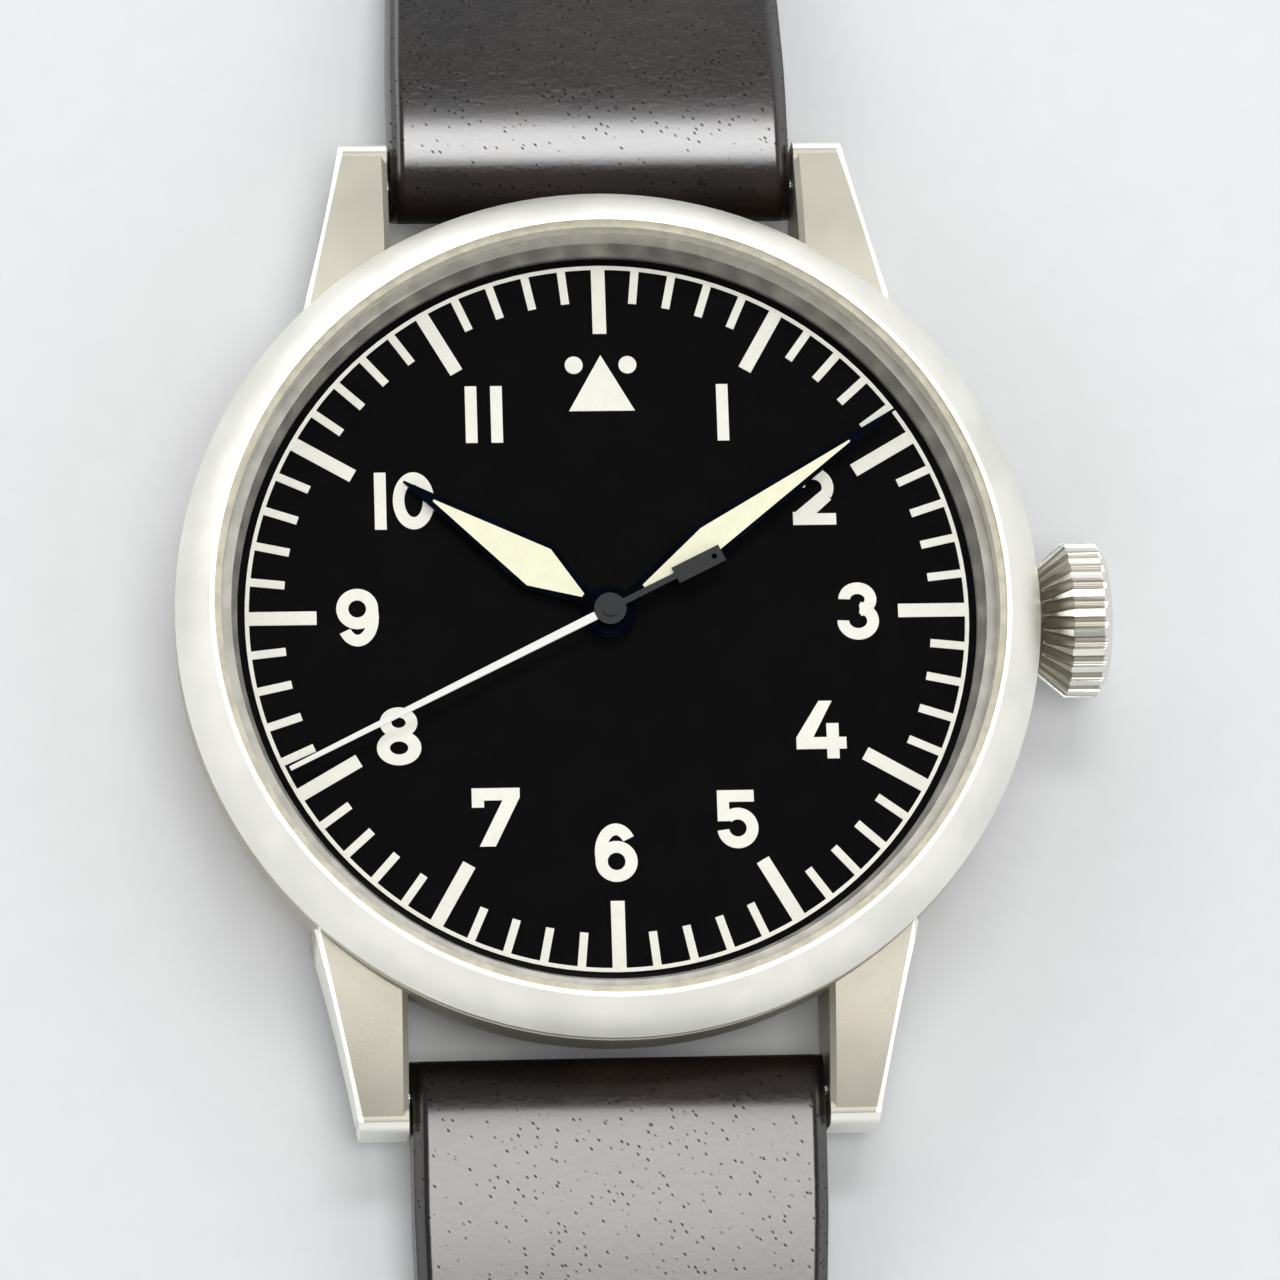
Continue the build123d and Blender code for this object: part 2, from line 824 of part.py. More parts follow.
with BuildPart() as winding_stem:
    add(
        stem_turned(
            (
                (stem_inner_x, 0),
                (stem_inner_x, stem_pilot_radius),
                (stem_pilot_end_x, stem_pilot_radius),
                (stem_pilot_end_x, stem_radius),
                (stem_groove_x, stem_radius),
                (stem_groove_x, stem_groove_radius),
                (stem_groove_x + stem_groove_width, stem_groove_radius),
                (stem_groove_x + stem_groove_width, stem_radius),
                (stem_end_x, stem_radius),
                (stem_end_x, 0),
            )
        )
    )
    with BuildSketch(stem_plane.offset(stem_pilot_end_x)):
        Circle(stem_radius + fit_gap)
        Rectangle(stem_square, stem_square, mode=Mode.SUBTRACT)
    extrude(amount=stem_square_end_x - stem_pilot_end_x, mode=Mode.SUBTRACT)
export(winding_stem, "winding_stem")

# Dial, its track and its numerals
with BuildPart() as dial_plate:
    add(disc(dial_radius, plate_top_z, dial_top_z, bore=dial_bore))
    for foot_angle in (140, 320):
        add(disc(dial_foot_radius, plate_top_z - dial_foot_length, plate_top_z, polar(dial_foot_ring, foot_angle)))
export(dial_plate, "dial_plate")

with BuildPart() as dial_markings:
    with BuildSketch(Plane.XY.offset(dial_top_z)):
        Circle(track_radius)
        Circle(track_radius - track_width, mode=Mode.SUBTRACT)
        hour_bar_length = track_radius - track_width / 2 - hour_bar_inner_radius
        minute_length = track_radius - track_width / 2 - minute_inner_radius
        with PolarLocations(hour_bar_inner_radius + hour_bar_length / 2, 12):
            Rectangle(hour_bar_length, hour_bar_width)
        for minute in range(60):
            if minute % 5:
                with Locations(Location((0, 0, 0), (0, 0, 6 * minute))):
                    with Locations((minute_inner_radius + minute_length / 2, 0)):
                        Rectangle(minute_length, minute_width)
        with BuildLine():
            Polyline(
                (0, triangle_apex_y),
                (triangle_width / 2, triangle_base_y),
                (-triangle_width / 2, triangle_base_y),
                close=True,
            )
        make_face()
        with Locations((dot_x, dot_y), (-dot_x, dot_y)):
            Circle(dot_radius)
    extrude(amount=print_height)
export(dial_markings, "dial_markings")


# Figures as shares of their height about their own centres: strokes along elliptical arcs
# (centre x, y, half width, half height, start angle, sweep), rings (centre x, y, outer half
# width and height, inner half width and height) and outlines.
figure_arc_shares = {
    "2": ((0, 0.155, 0.245, 0.245, 178, -210),),
    "3": ((0, 0.205, 0.225, 0.195, 280, 258), (0, -0.17, 0.255, 0.23, 178, 264)),
    "5": ((0.004, -0.152, 0.248, 0.248, 135, -308),),
    "6": ((0.005, 0, 0.262, 0.4, 36, 190),),
}
figure_ring_shares = {
    "0": ((0, 0, 0.353, 0.5, 0.157, 0.287),),
    "6": ((0.005, -0.15, 0.355, 0.35, 0.15, 0.15),),
    "8": ((0, 0.235, 0.318, 0.265, 0.12, 0.09), (0, -0.2, 0.375, 0.3, 0.155, 0.113)),
}
figure_outline_shares = {
    "1": (((-0.1, -0.5), (0.1, -0.5), (0.1, 0.5), (-0.1, 0.5)),),
    "2": (
        ((-0.37, -0.5), (0.37, -0.5), (0.37, -0.3), (-0.06, -0.3), (-0.37, -0.27)),
        ((-0.37, -0.31), (0.136, 0.107), (0.297, -0.06), (0.02, -0.31)),
    ),
    "4": (
        ((-0.026, 0.5), (0.2, 0.5), (-0.135, -0.13), (-0.426, -0.13)),
        ((-0.426, -0.13), (0.426, -0.13), (0.426, -0.334), (-0.426, -0.334)),
        ((0.093, 0.11), (0.3, 0.11), (0.3, -0.5), (0.093, -0.5)),
    ),
    "5": (
        ((-0.333, 0.5), (0.29, 0.5), (0.29, 0.3), (-0.333, 0.3)),
        ((-0.333, 0.5), (-0.133, 0.5), (-0.133, -0.03), (-0.333, -0.03)),
    ),
    "7": (
        ((-0.405, 0.5), (0.405, 0.5), (0.405, 0.34), (0.113, 0.29), (-0.405, 0.29)),
        ((-0.405, 0.5), (-0.2, 0.5), (-0.2, 0.17), (-0.405, 0.17)),
        ((0.113, 0.29), (0.405, 0.34), (-0.02, -0.5), (-0.29, -0.5)),
    ),
}


def numeral(figure, size, place, low):
    """One raised figure of a height at a place on the dial, as a part."""
    drawn = "6" if figure == "9" else figure
    with BuildPart() as body:
        with BuildSketch(Plane.XY.offset(low)):
            for outline_shares in figure_outline_shares.get(drawn, ()):
                with BuildLine():
                    Polyline(*[(size * x, size * y) for x, y in outline_shares], close=True)
                make_face()
            for x, y, wide, high, begin, sweep in figure_arc_shares.get(drawn, ()):
                with BuildLine() as path:
                    EllipticalCenterArc(
                        (size * x, size * y), size * wide, size * high, start_angle=begin, arc_size=sweep
                    )
                trace(path.line, line_width=size * numeral_stroke_share)
            for x, y, wide, high, inner_wide, inner_high in figure_ring_shares.get(drawn, ()):
                with Locations((size * x, size * y)):
                    Ellipse(size * wide, size * high)
            for x, y, wide, high, inner_wide, inner_high in figure_ring_shares.get(drawn, ()):
                with Locations((size * x, size * y)):
                    Ellipse(size * inner_wide, size * inner_high, mode=Mode.SUBTRACT)
        extrude(amount=print_height)
    turn = 180 if figure == "9" else 0
    return body.part.moved(Location((*place, 0), (0, 0, turn)))


# Places of the figures' centres, as shares of the numeral radius
numeral_place_shares = (
    ("1", 0.504, 0.860),
    ("2", 0.872, 0.493),
    ("3", 1.037, 0.0),
    ("4", 0.864, -0.501),
    ("5", 0.504, -0.872),
    ("6", 0.0, -1.004),
    ("7", -0.487, -0.848),
    ("8", -0.878, -0.503),
    ("9", -1.036, 0.0),
    ("1", -0.932, 0.494),
    ("0", -0.794, 0.494),
    ("1", -0.546, 0.861),
    ("1", -0.440, 0.861),
)
with BuildPart() as dial_numerals:
    for figure, across_share, up_share in numeral_place_shares:
        place = (across_share * numeral_radius, up_share * numeral_radius)
        add(numeral(figure, numeral_height, place, dial_top_z))
export(dial_numerals, "dial_numerals")


# Hands
def hand_outline(base, neck, wide_at, wide, tip, point):
    """Half-symmetrical lozenge outline along +Y as corner points."""
    return (
        (neck / 2, base),
        (wide / 2, wide_at),
        (point / 2, tip),
        (-point / 2, tip),
        (-wide / 2, wide_at),
        (-neck / 2, base),
    )


def sword_hand(hub, bore, outline, lume_outline, low):
    """A hand's dark frame with its open middle, as a part along +Y."""
    with BuildPart() as frame:
        with BuildSketch(Plane.XY.offset(low)):
            with BuildLine():
                Polyline(*outline, close=True)
            make_face()
            Circle(hub)
            with BuildLine():
                Polyline(*lume_outline, close=True)
            make_face(mode=Mode.SUBTRACT)
            Circle(bore, mode=Mode.SUBTRACT)
        extrude(amount=hand_thickness)
    return frame.part


def lume_fill(lume_outline, low):
    """The filling of a hand's open middle, as a part along +Y."""
    with BuildPart() as filling:
        with BuildSketch(Plane.XY.offset(low)):
            with BuildLine():
                Polyline(*lume_outline, close=True)
            make_face()
        extrude(amount=hand_thickness)
    return filling.part


hour_outline = hand_outline(hour_neck_at, hour_neck, hour_wide_at, hour_wide, hour_tip, hand_point_width)
hour_lume = hand_outline(
    hour_lume_base, hour_lume_neck, hour_wide_at, hour_lume_wide, hour_lume_tip, hand_point_width
)
minute_outline = hand_outline(
    minute_neck_at, minute_neck, minute_wide_at, minute_wide, minute_tip, hand_point_width
)
minute_lume = hand_outline(
    minute_lume_base, minute_lume_neck, minute_wide_at, minute_lume_wide, minute_lume_tip, hand_point_width
)

with BuildPart() as hour_hand:
    add(
        sword_hand(hour_hub_radius, hour_pipe_radius, hour_outline, hour_lume, hour_hand_z),
        rotation=(0, 0, -hour_angle),
    )
export(hour_hand, "hour_hand")

with BuildPart() as hour_hand_lume:
    add(lume_fill(hour_lume, hour_hand_z), rotation=(0, 0, -hour_angle))
export(hour_hand_lume, "hour_hand_lume")

with BuildPart() as minute_hand:
    add(
        sword_hand(minute_hub_radius, centre_arbor_radius, minute_outline, minute_lume, minute_hand_z),
        rotation=(0, 0, -minute_angle),
    )
export(minute_hand, "minute_hand")

with BuildPart() as minute_hand_lume:
    add(lume_fill(minute_lume, minute_hand_z), rotation=(0, 0, -minute_angle))
export(minute_hand_lume, "minute_hand_lume")

with BuildPart() as seconds_needle:
    with BuildSketch(Plane.XY.offset(seconds_hand_z)):
        with BuildLine():
            Polyline(
                (seconds_root_width / 2, 0),
                (seconds_tip_width / 2, seconds_tip),
                (-seconds_tip_width / 2, seconds_tip),
                (-seconds_root_width / 2, 0),
                close=True,
            )
        make_face()
        with Locations((0, -seconds_weight_start / 2)):
            Rectangle(seconds_tail_width, seconds_weight_start)
        with Locations((0, -(seconds_weight_start + seconds_tail) / 2)):
            Rectangle(seconds_weight_width, seconds_tail - seconds_weight_start)
        with Locations((0, -seconds_tail + seconds_weight_width / 2)):
            Circle(seconds_weight_hole, mode=Mode.SUBTRACT)
        Circle(seconds_hub_radius)
    extrude(amount=seconds_thickness)
    with BuildSketch(Plane.XY.offset(seconds_hand_z)):
        Circle(seconds_hub_radius / 2)
    extrude(amount=seconds_hub_height)
    with BuildSketch(Plane.XY.offset(seconds_hand_z)):
        Circle(arbor_radius)
    extrude(amount=seconds_arbor_top_z - seconds_hand_z, mode=Mode.SUBTRACT)

with BuildPart() as seconds_hand:
    add(seconds_needle.part, rotation=(0, 0, -seconds_angle))
export(seconds_hand, "seconds_hand")

# Where the wheels stand, worked out from their counts and modules
barrel_distance = (barrel_teeth + centre_pinion_leaves) * barrel_module / 2
third_distance = (centre_teeth + third_pinion_leaves) * centre_module / 2
third_module = 2 * third_distance / (third_teeth + fourth_pinion_leaves)
escape_distance = (fourth_teeth + escape_pinion_leaves) * fourth_module / 2
motion_distance = (cannon_leaves + minute_teeth) * motion_module / 2
hour_module = 2 * motion_distance / (minute_pinion_leaves + hour_teeth)
setting_distance = (minute_teeth + setting_teeth) * motion_module / 2
winding_distance = (crown_wheel_teeth + ratchet_teeth) * winding_wheel_module / 2

crown_wheel_place = (crown_wheel_x, crown_wheel_y)
crown_wheel_distance = hypot(crown_wheel_x, crown_wheel_y)
barrel_turn = acos(
    (barrel_distance**2 + crown_wheel_distance**2 - winding_distance**2)
    / (2 * barrel_distance * crown_wheel_distance)
)
barrel_direction = degrees(atan2(crown_wheel_y, crown_wheel_x) + barrel_turn)
barrel_place = polar(barrel_distance, barrel_direction)
third_place = polar(third_distance, third_direction)
escape_place = polar(escape_distance, escape_direction)
pallet_place = polar(pallet_distance, balance_direction, escape_place)
balance_place = polar(pallet_balance_distance, balance_direction, pallet_place)
minute_wheel_place = polar(motion_distance, minute_wheel_direction)
setting_wheel_place = polar(setting_distance, setting_wheel_direction, minute_wheel_place)
lever_pivot = (lever_pivot_x, lever_pivot_y)
crown_to_ratchet = degrees(atan2(barrel_place[1] - crown_wheel_y, barrel_place[0] - crown_wheel_x))

print("barrel", barrel_place, "third", third_place, "escape", escape_place)
print("pallet", pallet_place, "balance", balance_place)
print("minute wheel", minute_wheel_place, "setting wheel", setting_wheel_place)

# Movement holder, main plate, bridges and cock
with BuildPart() as movement_ring:
    add(disc(back_thread_radius, back_top_z, plate_top_z, bore=movement_radius + holder_gap))
    with BuildSketch(stem_plane):
        Circle(stem_radius + holder_gap * 2)
    extrude(amount=case_radius, mode=Mode.SUBTRACT)
export(movement_ring, "movement_ring")

barrel_screw_angles = (47, 112)
train_screw_angles = (256, 322)
cock_screw_angle = 161.5
bridge_screw_angles = (*barrel_screw_angles, *train_screw_angles, cock_screw_angle)
plate_pivots = (third_place, escape_place, pallet_place, balance_place)

with BuildPart() as main_plate:
    add(disc(movement_radius, plate_bottom_z, plate_top_z, bore=centre_arbor_radius + running_gap))
    barrel_pocket_radius = barrel_teeth * barrel_module / 2 + 2 * barrel_module
    pocket_bottom = plate_bottom_z - cut_overrun
    add(disc(barrel_pocket_radius, pocket_bottom, barrel_ceiling_z, barrel_place), mode=Mode.SUBTRACT)
    centre_pocket_radius = (centre_pinion_leaves / 2 + 2) * barrel_module
    centre_pocket_top = centre_pinion_z + centre_pinion_height + fit_gap
    add(disc(centre_pocket_radius, pocket_bottom, centre_pocket_top), mode=Mode.SUBTRACT)
    pinion_reach = winding_pinion_radius + holder_gap * 2
    keyless_start = sliding_pinion_x - clutch_travel - holder_gap * 2
    keyless_length = keyless_end_x - keyless_start
    with BuildSketch(Plane.XY.offset(plate_bottom_z)):
        with Locations((keyless_start + keyless_length / 2, (pinion_reach + yoke_end_y - holder_gap) / 2)):
            Rectangle(keyless_length, pinion_reach - yoke_end_y + holder_gap)
    extrude(amount=keyless_ceiling_z - plate_bottom_z, mode=Mode.SUBTRACT)
    with BuildSketch(Plane.XY.offset(stem_boss_z)):
        with Locations(((stem_boss_x + keyless_start) / 2, 0)):
            Rectangle(keyless_start - stem_boss_x, 2 * stem_boss_half)
        with Locations(((keyless_end_x + bridge_radius) / 2, 0)):
            Rectangle(bridge_radius - keyless_end_x, 2.5 * stem_boss_half)
    extrude(amount=plate_bottom_z - stem_boss_z)
    with BuildSketch(stem_plane.offset(stem_inner_x - fit_gap)):
        Circle(stem_pilot_radius + running_gap)
    extrude(amount=movement_radius, mode=Mode.SUBTRACT)
    with BuildSketch(stem_plane.offset(keyless_start)):
        Circle(stem_radius + holder_gap)
    extrude(amount=movement_radius, mode=Mode.SUBTRACT)
    hour_recess = hour_teeth * hour_module / 2 + 2 * hour_module
    minute_recess = minute_teeth * motion_module / 2 + 2 * motion_module
    setting_recess = setting_teeth * motion_module / 2 + 2 * motion_module
    recess_top = plate_top_z + cut_overrun
    add(disc(hour_recess, motion_floor_z, recess_top), mode=Mode.SUBTRACT)
    add(disc(minute_recess, motion_floor_z, recess_top, minute_wheel_place), mode=Mode.SUBTRACT)
    add(disc(setting_recess, motion_floor_z, recess_top, setting_wheel_place), mode=Mode.SUBTRACT)
    add(disc(motion_post_radius, motion_floor_z, motion_post_top_z, minute_wheel_place))
    add(disc(motion_post_radius, motion_floor_z, motion_post_top_z, setting_wheel_place))
    add(disc(lever_post_radius, lever_z, keyless_ceiling_z, lever_pivot))
    for place in plate_pivots:
        add(disc(arbor_radius + running_gap, pocket_bottom, plate_pivot_z, place), mode=Mode.SUBTRACT)
    add(disc(barrel_arbor_radius + running_gap, pocket_bottom, barrel_ceiling_z, barrel_place), mode=Mode.SUBTRACT)
    for angle in bridge_screw_angles:
        place = polar(screw_ring, angle)
        add(disc(screw_shank_radius, pocket_bottom, screw_end_z, place), mode=Mode.SUBTRACT)
    for foot_angle in (140, 320):
        place = polar(dial_foot_ring, foot_angle)
        add(
            disc(dial_foot_radius + fit_gap, plate_top_z - dial_foot_length - fit_gap, recess_top, place),
            mode=Mode.SUBTRACT,
        )
export(main_plate, "main_plate")

# Outlines of the two bridges, as shares of the bridge radius
barrel_outline_shares = (
    (-0.094, 0.106),
    (0.094, 0.091),
    (0.488, -0.071),
    (0.551, -0.205),
    (1.02, -0.205),
    (1.02, 1.02),
    (-0.512, 1.02),
    (-0.433, 0.709),
)
train_outline_shares = (
    (-0.114, 0.083),
    (0.083, 0.067),
    (0.472, -0.094),
    (0.531, -0.228),
    (1.02, -0.228),
    (1.02, -1.02),
    (-0.488, -1.02),
    (-0.488, 0.236),
    (-0.205, 0.236),
)


def bridge_plate(outline_shares, top, wall_radius, wall_start, wall_end):
    """A flat bridge of an outline within the movement, with a wall down to the plate."""
    with BuildPart() as plate:
        with BuildSketch(Plane.XY.offset(bridge_bottom_z)):
            with BuildLine():
                Polyline(*[(bridge_radius * x, bridge_radius * y) for x, y in outline_shares], close=True)
            make_face()
            Circle(bridge_radius, mode=Mode.INTERSECT)
        extrude(amount=top - bridge_bottom_z)
        with BuildSketch(Plane.XY.offset(top)):
            with BuildLine():
                start = polar(bridge_radius, wall_start)
                middle = polar(bridge_radius, (wall_start + wall_end) / 2)
                end = polar(bridge_radius, wall_end)
                ThreePointArc(start, middle, end)
                Line(end, polar(wall_radius, wall_end))
                ThreePointArc(
                    polar(wall_radius, wall_end),
                    polar(wall_radius, (wall_start + wall_end) / 2),
                    polar(wall_radius, wall_start),
                )
                Line(polar(wall_radius, wall_start), start)
            make_face()
        extrude(amount=plate_bottom_z - top)
    return plate.part


click_pivot = polar(click_reach, click_direction, barrel_place)
ratchet_recess = (ratchet_teeth / 2 + 1.6) * winding_wheel_module
crown_wheel_recess = (crown_wheel_teeth / 2 + 1.4) * winding_wheel_module
with BuildPart() as barrel_bridge:
    add(bridge_plate(barrel_outline_shares, barrel_bridge_top_z, barrel_wall_radius, 34, 112))
    low = bridge_bottom_z - cut_overrun
    add(disc(ratchet_recess, low, wheel_recess_z, barrel_place), mode=Mode.SUBTRACT)
    add(disc(crown_wheel_recess, low, wheel_recess_z, crown_wheel_place), mode=Mode.SUBTRACT)
    add(disc(2.5 * click_eye_radius, low, wheel_recess_z, click_pivot), mode=Mode.SUBTRACT)
    add(disc(crown_wheel_bore - running_gap, ratchet_z, wheel_recess_z, crown_wheel_place))
    add(disc(click_eye_radius / 2 - running_gap, ratchet_z, wheel_recess_z, click_pivot))
    fourth_pocket = (fourth_teeth / 2 + 2) * fourth_module
    fourth_pocket_z = fourth_wheel_z - fit_gap
    add(disc(fourth_pocket, fourth_pocket_z, plate_bottom_z), mode=Mode.SUBTRACT)
    pinion_slot_start = keyless_start
    pinion_slot_end = winding_pinion_x + winding_pinion_length + 2 * fit_gap
    with BuildSketch(Plane.XY.offset(wheel_recess_z)):
        with Locations(((pinion_slot_start + pinion_slot_end) / 2, 0)):
            Rectangle(pinion_slot_end - pinion_slot_start, 2 * winding_slot_half)
    extrude(amount=plate_bottom_z - wheel_recess_z, mode=Mode.SUBTRACT)
    add(disc(barrel_arbor_radius + running_gap, low, plate_bottom_z, barrel_place), mode=Mode.SUBTRACT)
    for angle in barrel_screw_angles:
        add(disc(screw_shank_radius, low, plate_bottom_z, polar(screw_ring, angle)), mode=Mode.SUBTRACT)
    with BuildSketch(stem_plane.offset(keyless_start)):
        Circle(stem_radius + holder_gap * 2)
    extrude(amount=movement_radius, mode=Mode.SUBTRACT)
export(barrel_bridge, "barrel_bridge")

balance_clearance = balance_radius + bridge_split
train_jewels = ((0, 0), third_place, escape_place)
with BuildPart() as train_bridge:
    add(bridge_plate(train_outline_shares, train_bridge_top_z, train_wall_radius, 247, 330))
    add(disc(balance_clearance, low, plate_bottom_z, balance_place), mode=Mode.SUBTRACT)
    for place in train_jewels:
        add(disc(jewel_radius, low, train_bridge_top_z, place), mode=Mode.SUBTRACT)
    for angle in train_screw_angles:
        add(disc(screw_shank_radius, low, plate_bottom_z, polar(screw_ring, angle)), mode=Mode.SUBTRACT)
export(train_bridge, "train_bridge")

# Balance cock: an arm from a foot at the rim to the balance's pivot
cock_foot = polar(screw_ring - screw_head_radius / 2, cock_screw_angle)
cock_direction = degrees(atan2(cock_foot[1] - balance_place[1], cock_foot[0] - balance_place[0]))
hairspring_inner = collet_radius + hairspring_width + hairspring_pitch / 4
cock_arm_width = 2.6 * jewel_radius
with BuildPart() as balance_cock:
    with BuildSketch(Plane.XY.offset(bridge_bottom_z)):
        with Locations(balance_place):
            Circle(2.2 * jewel_radius)
        with BuildLine() as arm:
            Line(balance_place, cock_foot)
        trace(arm.line, line_width=cock_arm_width)
        with Locations(cock_foot):
            Circle(2.1 * screw_head_radius)
        Circle(bridge_radius, mode=Mode.INTERSECT)
    extrude(amount=cock_top_z - bridge_bottom_z)
    with BuildSketch(Plane.XY.offset(cock_top_z)):
        with Locations(cock_foot):
            Circle(1.8 * screw_head_radius)
        Circle(bridge_radius, mode=Mode.INTERSECT)
    extrude(amount=plate_bottom_z - cock_top_z)
    add(disc(screw_shank_radius, low, plate_bottom_z, polar(screw_ring, cock_screw_angle)), mode=Mode.SUBTRACT)
    add(disc(jewel_radius, low, cock_top_z, balance_place), mode=Mode.SUBTRACT)
    stud_ring = hairspring_inner + hairspring_turns * hairspring_pitch - hairspring_pitch / 4
    stud_place = polar(stud_ring + stud_radius + hairspring_width, cock_direction, balance_place)
    add(disc(stud_radius, cock_top_z, hairspring_z + hairspring_height, stud_place))
export(balance_cock, "balance_cock")

with BuildPart() as pallet_bridge:
    across = balance_direction + 90
    ends = (polar(pallet_bridge_half, across, pallet_place), polar(-pallet_bridge_half, across, pallet_place))
    with BuildSketch(Plane.XY.offset(pallet_bridge_z)):
        with BuildLine() as spine:
            Line(*ends)
        trace(spine.line, line_width=pallet_bridge_width)
        with Locations(pallet_place):
            Circle(arbor_radius + running_gap, mode=Mode.SUBTRACT)
    extrude(amount=pallet_bridge_height)
    with BuildSketch(Plane.XY.offset(pallet_bridge_z)):
        foot_ring = pallet_bridge_half - pallet_foot_half
        with Locations(
            polar(foot_ring, across, pallet_place),
            polar(-foot_ring, across, pallet_place),
        ):
            Circle(pallet_foot_half)
    extrude(amount=plate_bottom_z - pallet_bridge_z)
export(pallet_bridge, "pallet_bridge")

with BuildPart() as movement_screws:
    for angle in bridge_screw_angles:
        place = polar(screw_ring, angle)
        add(disc(screw_head_radius, bridge_bottom_z - screw_head_height, bridge_bottom_z, place))
        add(disc(screw_shank_radius, bridge_bottom_z, screw_end_z, place))
    crown_screw_low = ratchet_z - screw_head_height
    add(disc(crown_wheel_screw_radius, crown_screw_low, ratchet_z, crown_wheel_place))
    with BuildSketch(Plane.XY.offset(bridge_bottom_z - screw_head_height)):
        with Locations(*[polar(screw_ring, angle) for angle in bridge_screw_angles]):
            Rectangle(2 * screw_head_radius, screw_slot_width)
    extrude(amount=screw_slot_depth, mode=Mode.SUBTRACT)
    with BuildSketch(Plane.XY.offset(crown_screw_low)):
        with Locations(crown_wheel_place):
            Rectangle(2 * crown_wheel_screw_radius, screw_slot_width)
    extrude(amount=screw_slot_depth, mode=Mode.SUBTRACT)
export(movement_screws, "movement_screws")

with BuildPart() as jewels:
    for place in train_jewels:
        add(disc(jewel_radius, bridge_bottom_z, train_bridge_top_z, place))
        add(disc(pivot_radius + running_gap, train_pivot_z, train_bridge_top_z, place), mode=Mode.SUBTRACT)
    add(disc(jewel_radius, bridge_bottom_z, cock_top_z, balance_place))
    add(
        disc(pivot_radius + running_gap, (bridge_bottom_z + cock_top_z) / 2, cock_top_z, balance_place),
        mode=Mode.SUBTRACT,
    )
export(jewels, "jewels")

# Winding and setting works
with BuildPart() as sliding_pinion:
    groove_start = sliding_pinion_x + (sliding_pinion_length - sliding_groove_width) / 2
    add(
        stem_turned(
            (
                (sliding_pinion_x, 0),
                (sliding_pinion_x, sliding_pinion_radius),
                (groove_start, sliding_pinion_radius),
                (groove_start, sliding_groove_radius),
                (groove_start + sliding_groove_width, sliding_groove_radius),
                (groove_start + sliding_groove_width, sliding_pinion_radius),
                (sliding_pinion_x + sliding_pinion_length, sliding_pinion_radius),
                (sliding_pinion_x + sliding_pinion_length, 0),
            )
        )
    )
    with BuildSketch(stem_plane.offset(sliding_pinion_x)):
        with PolarLocations(sliding_pinion_radius, winding_leaves):
            Circle(motion_module)
    extrude(amount=sliding_pinion_length, mode=Mode.SUBTRACT)
    with BuildSketch(stem_plane.offset(sliding_pinion_x)):
        Rectangle(stem_square + 2 * running_gap, stem_square + 2 * running_gap)
    extrude(amount=sliding_pinion_length, mode=Mode.SUBTRACT)
export(sliding_pinion, "sliding_pinion")

with BuildPart() as winding_pinion:
    with BuildSketch(stem_plane.offset(winding_pinion_x)):
        Circle(winding_pinion_radius)
        with PolarLocations(winding_pinion_radius, winding_leaves, start_angle=180 / winding_leaves):
            Circle(1.5 * motion_module, mode=Mode.SUBTRACT)
        Circle(stem_radius + running_gap, mode=Mode.SUBTRACT)
    extrude(amount=winding_pinion_length)
export(winding_pinion, "winding_pinion")

with BuildPart() as setting_yoke:
    finger_x = groove_start + sliding_groove_width / 2
    finger_width = sliding_groove_width - 4 * running_gap
    finger_start = -(sliding_groove_radius + 2 * running_gap)
    head_y = -(sliding_pinion_radius + 4 * running_gap)
    with BuildSketch(Plane.XY.offset(yoke_z)):
        with Locations((finger_x, (finger_start + yoke_end_y) / 2)):
            Rectangle(finger_width, finger_start - yoke_end_y)
        with Locations((finger_x, (head_y + yoke_end_y) / 2)):
            Rectangle(yoke_head_width / 2, head_y - yoke_end_y)
        with Locations((finger_x, yoke_end_y + yoke_head_width / 4)):
            Rectangle(yoke_head_width, yoke_head_width / 2)
    extrude(amount=yoke_thickness)
export(setting_yoke, "setting_yoke")

lever_pin_place = (stem_groove_x + stem_groove_width / 2, 0)
with BuildPart() as setting_lever:
    with BuildSketch(Plane.XY.offset(lever_z)):
        with Locations(lever_pivot):
            Circle(lever_eye_radius)
        with Locations(lever_pin_place):
            Circle(1.6 * lever_pin_radius)
        with BuildLine() as lever_spine:
            Line(lever_pivot, lever_pin_place)
        trace(lever_spine.line, line_width=2 * lever_pin_radius)
        with Locations(lever_pivot):
            Circle(lever_post_radius + running_gap, mode=Mode.SUBTRACT)
    extrude(amount=lever_thickness)
    pin_low = stem_z + stem_groove_radius + lever_pin_gap
    add(disc(lever_pin_radius, pin_low, lever_z, lever_pin_place))
export(setting_lever, "setting_lever")

with BuildPart() as crown_wheel:
    add(
        gear(
            crown_wheel_teeth,
            winding_wheel_module,
            ratchet_z,
            ratchet_thickness,
            crown_wheel_place,
            crown_to_ratchet,
            bore=crown_wheel_bore,
        )
    )
export(crown_wheel, "crown_wheel")

with BuildPart() as ratchet_wheel:
    add(
        gear(
            ratchet_teeth,
            winding_wheel_module,
            ratchet_z,
            ratchet_thickness,
            barrel_place,
            crown_to_ratchet + 180 + 180 / ratchet_teeth,
        )
    )
    with BuildSketch(Plane.XY.offset(ratchet_z)):
        with Locations(barrel_place):
            Rectangle(barrel_arbor_square, barrel_arbor_square)
    extrude(amount=ratchet_thickness, mode=Mode.SUBTRACT)
export(ratchet_wheel, "ratchet_wheel")

with BuildPart() as click:
    click_tip = polar(click_tip_radius + 2 * running_gap, click_direction - 12, barrel_place)
    with BuildSketch(Plane.XY.offset(ratchet_z)):
        with Locations(click_pivot):
            Circle(click_eye_radius)
        with BuildLine():
            heel = polar(click_eye_radius, click_direction, click_pivot)
            toe = polar(-click_eye_radius, click_direction, click_pivot)
            Polyline(heel, toe, click_tip, close=True)
        make_face()
        with Locations(click_pivot):
            Circle(click_eye_radius / 2, mode=Mode.SUBTRACT)
    extrude(amount=ratchet_thickness)
export(click, "click")

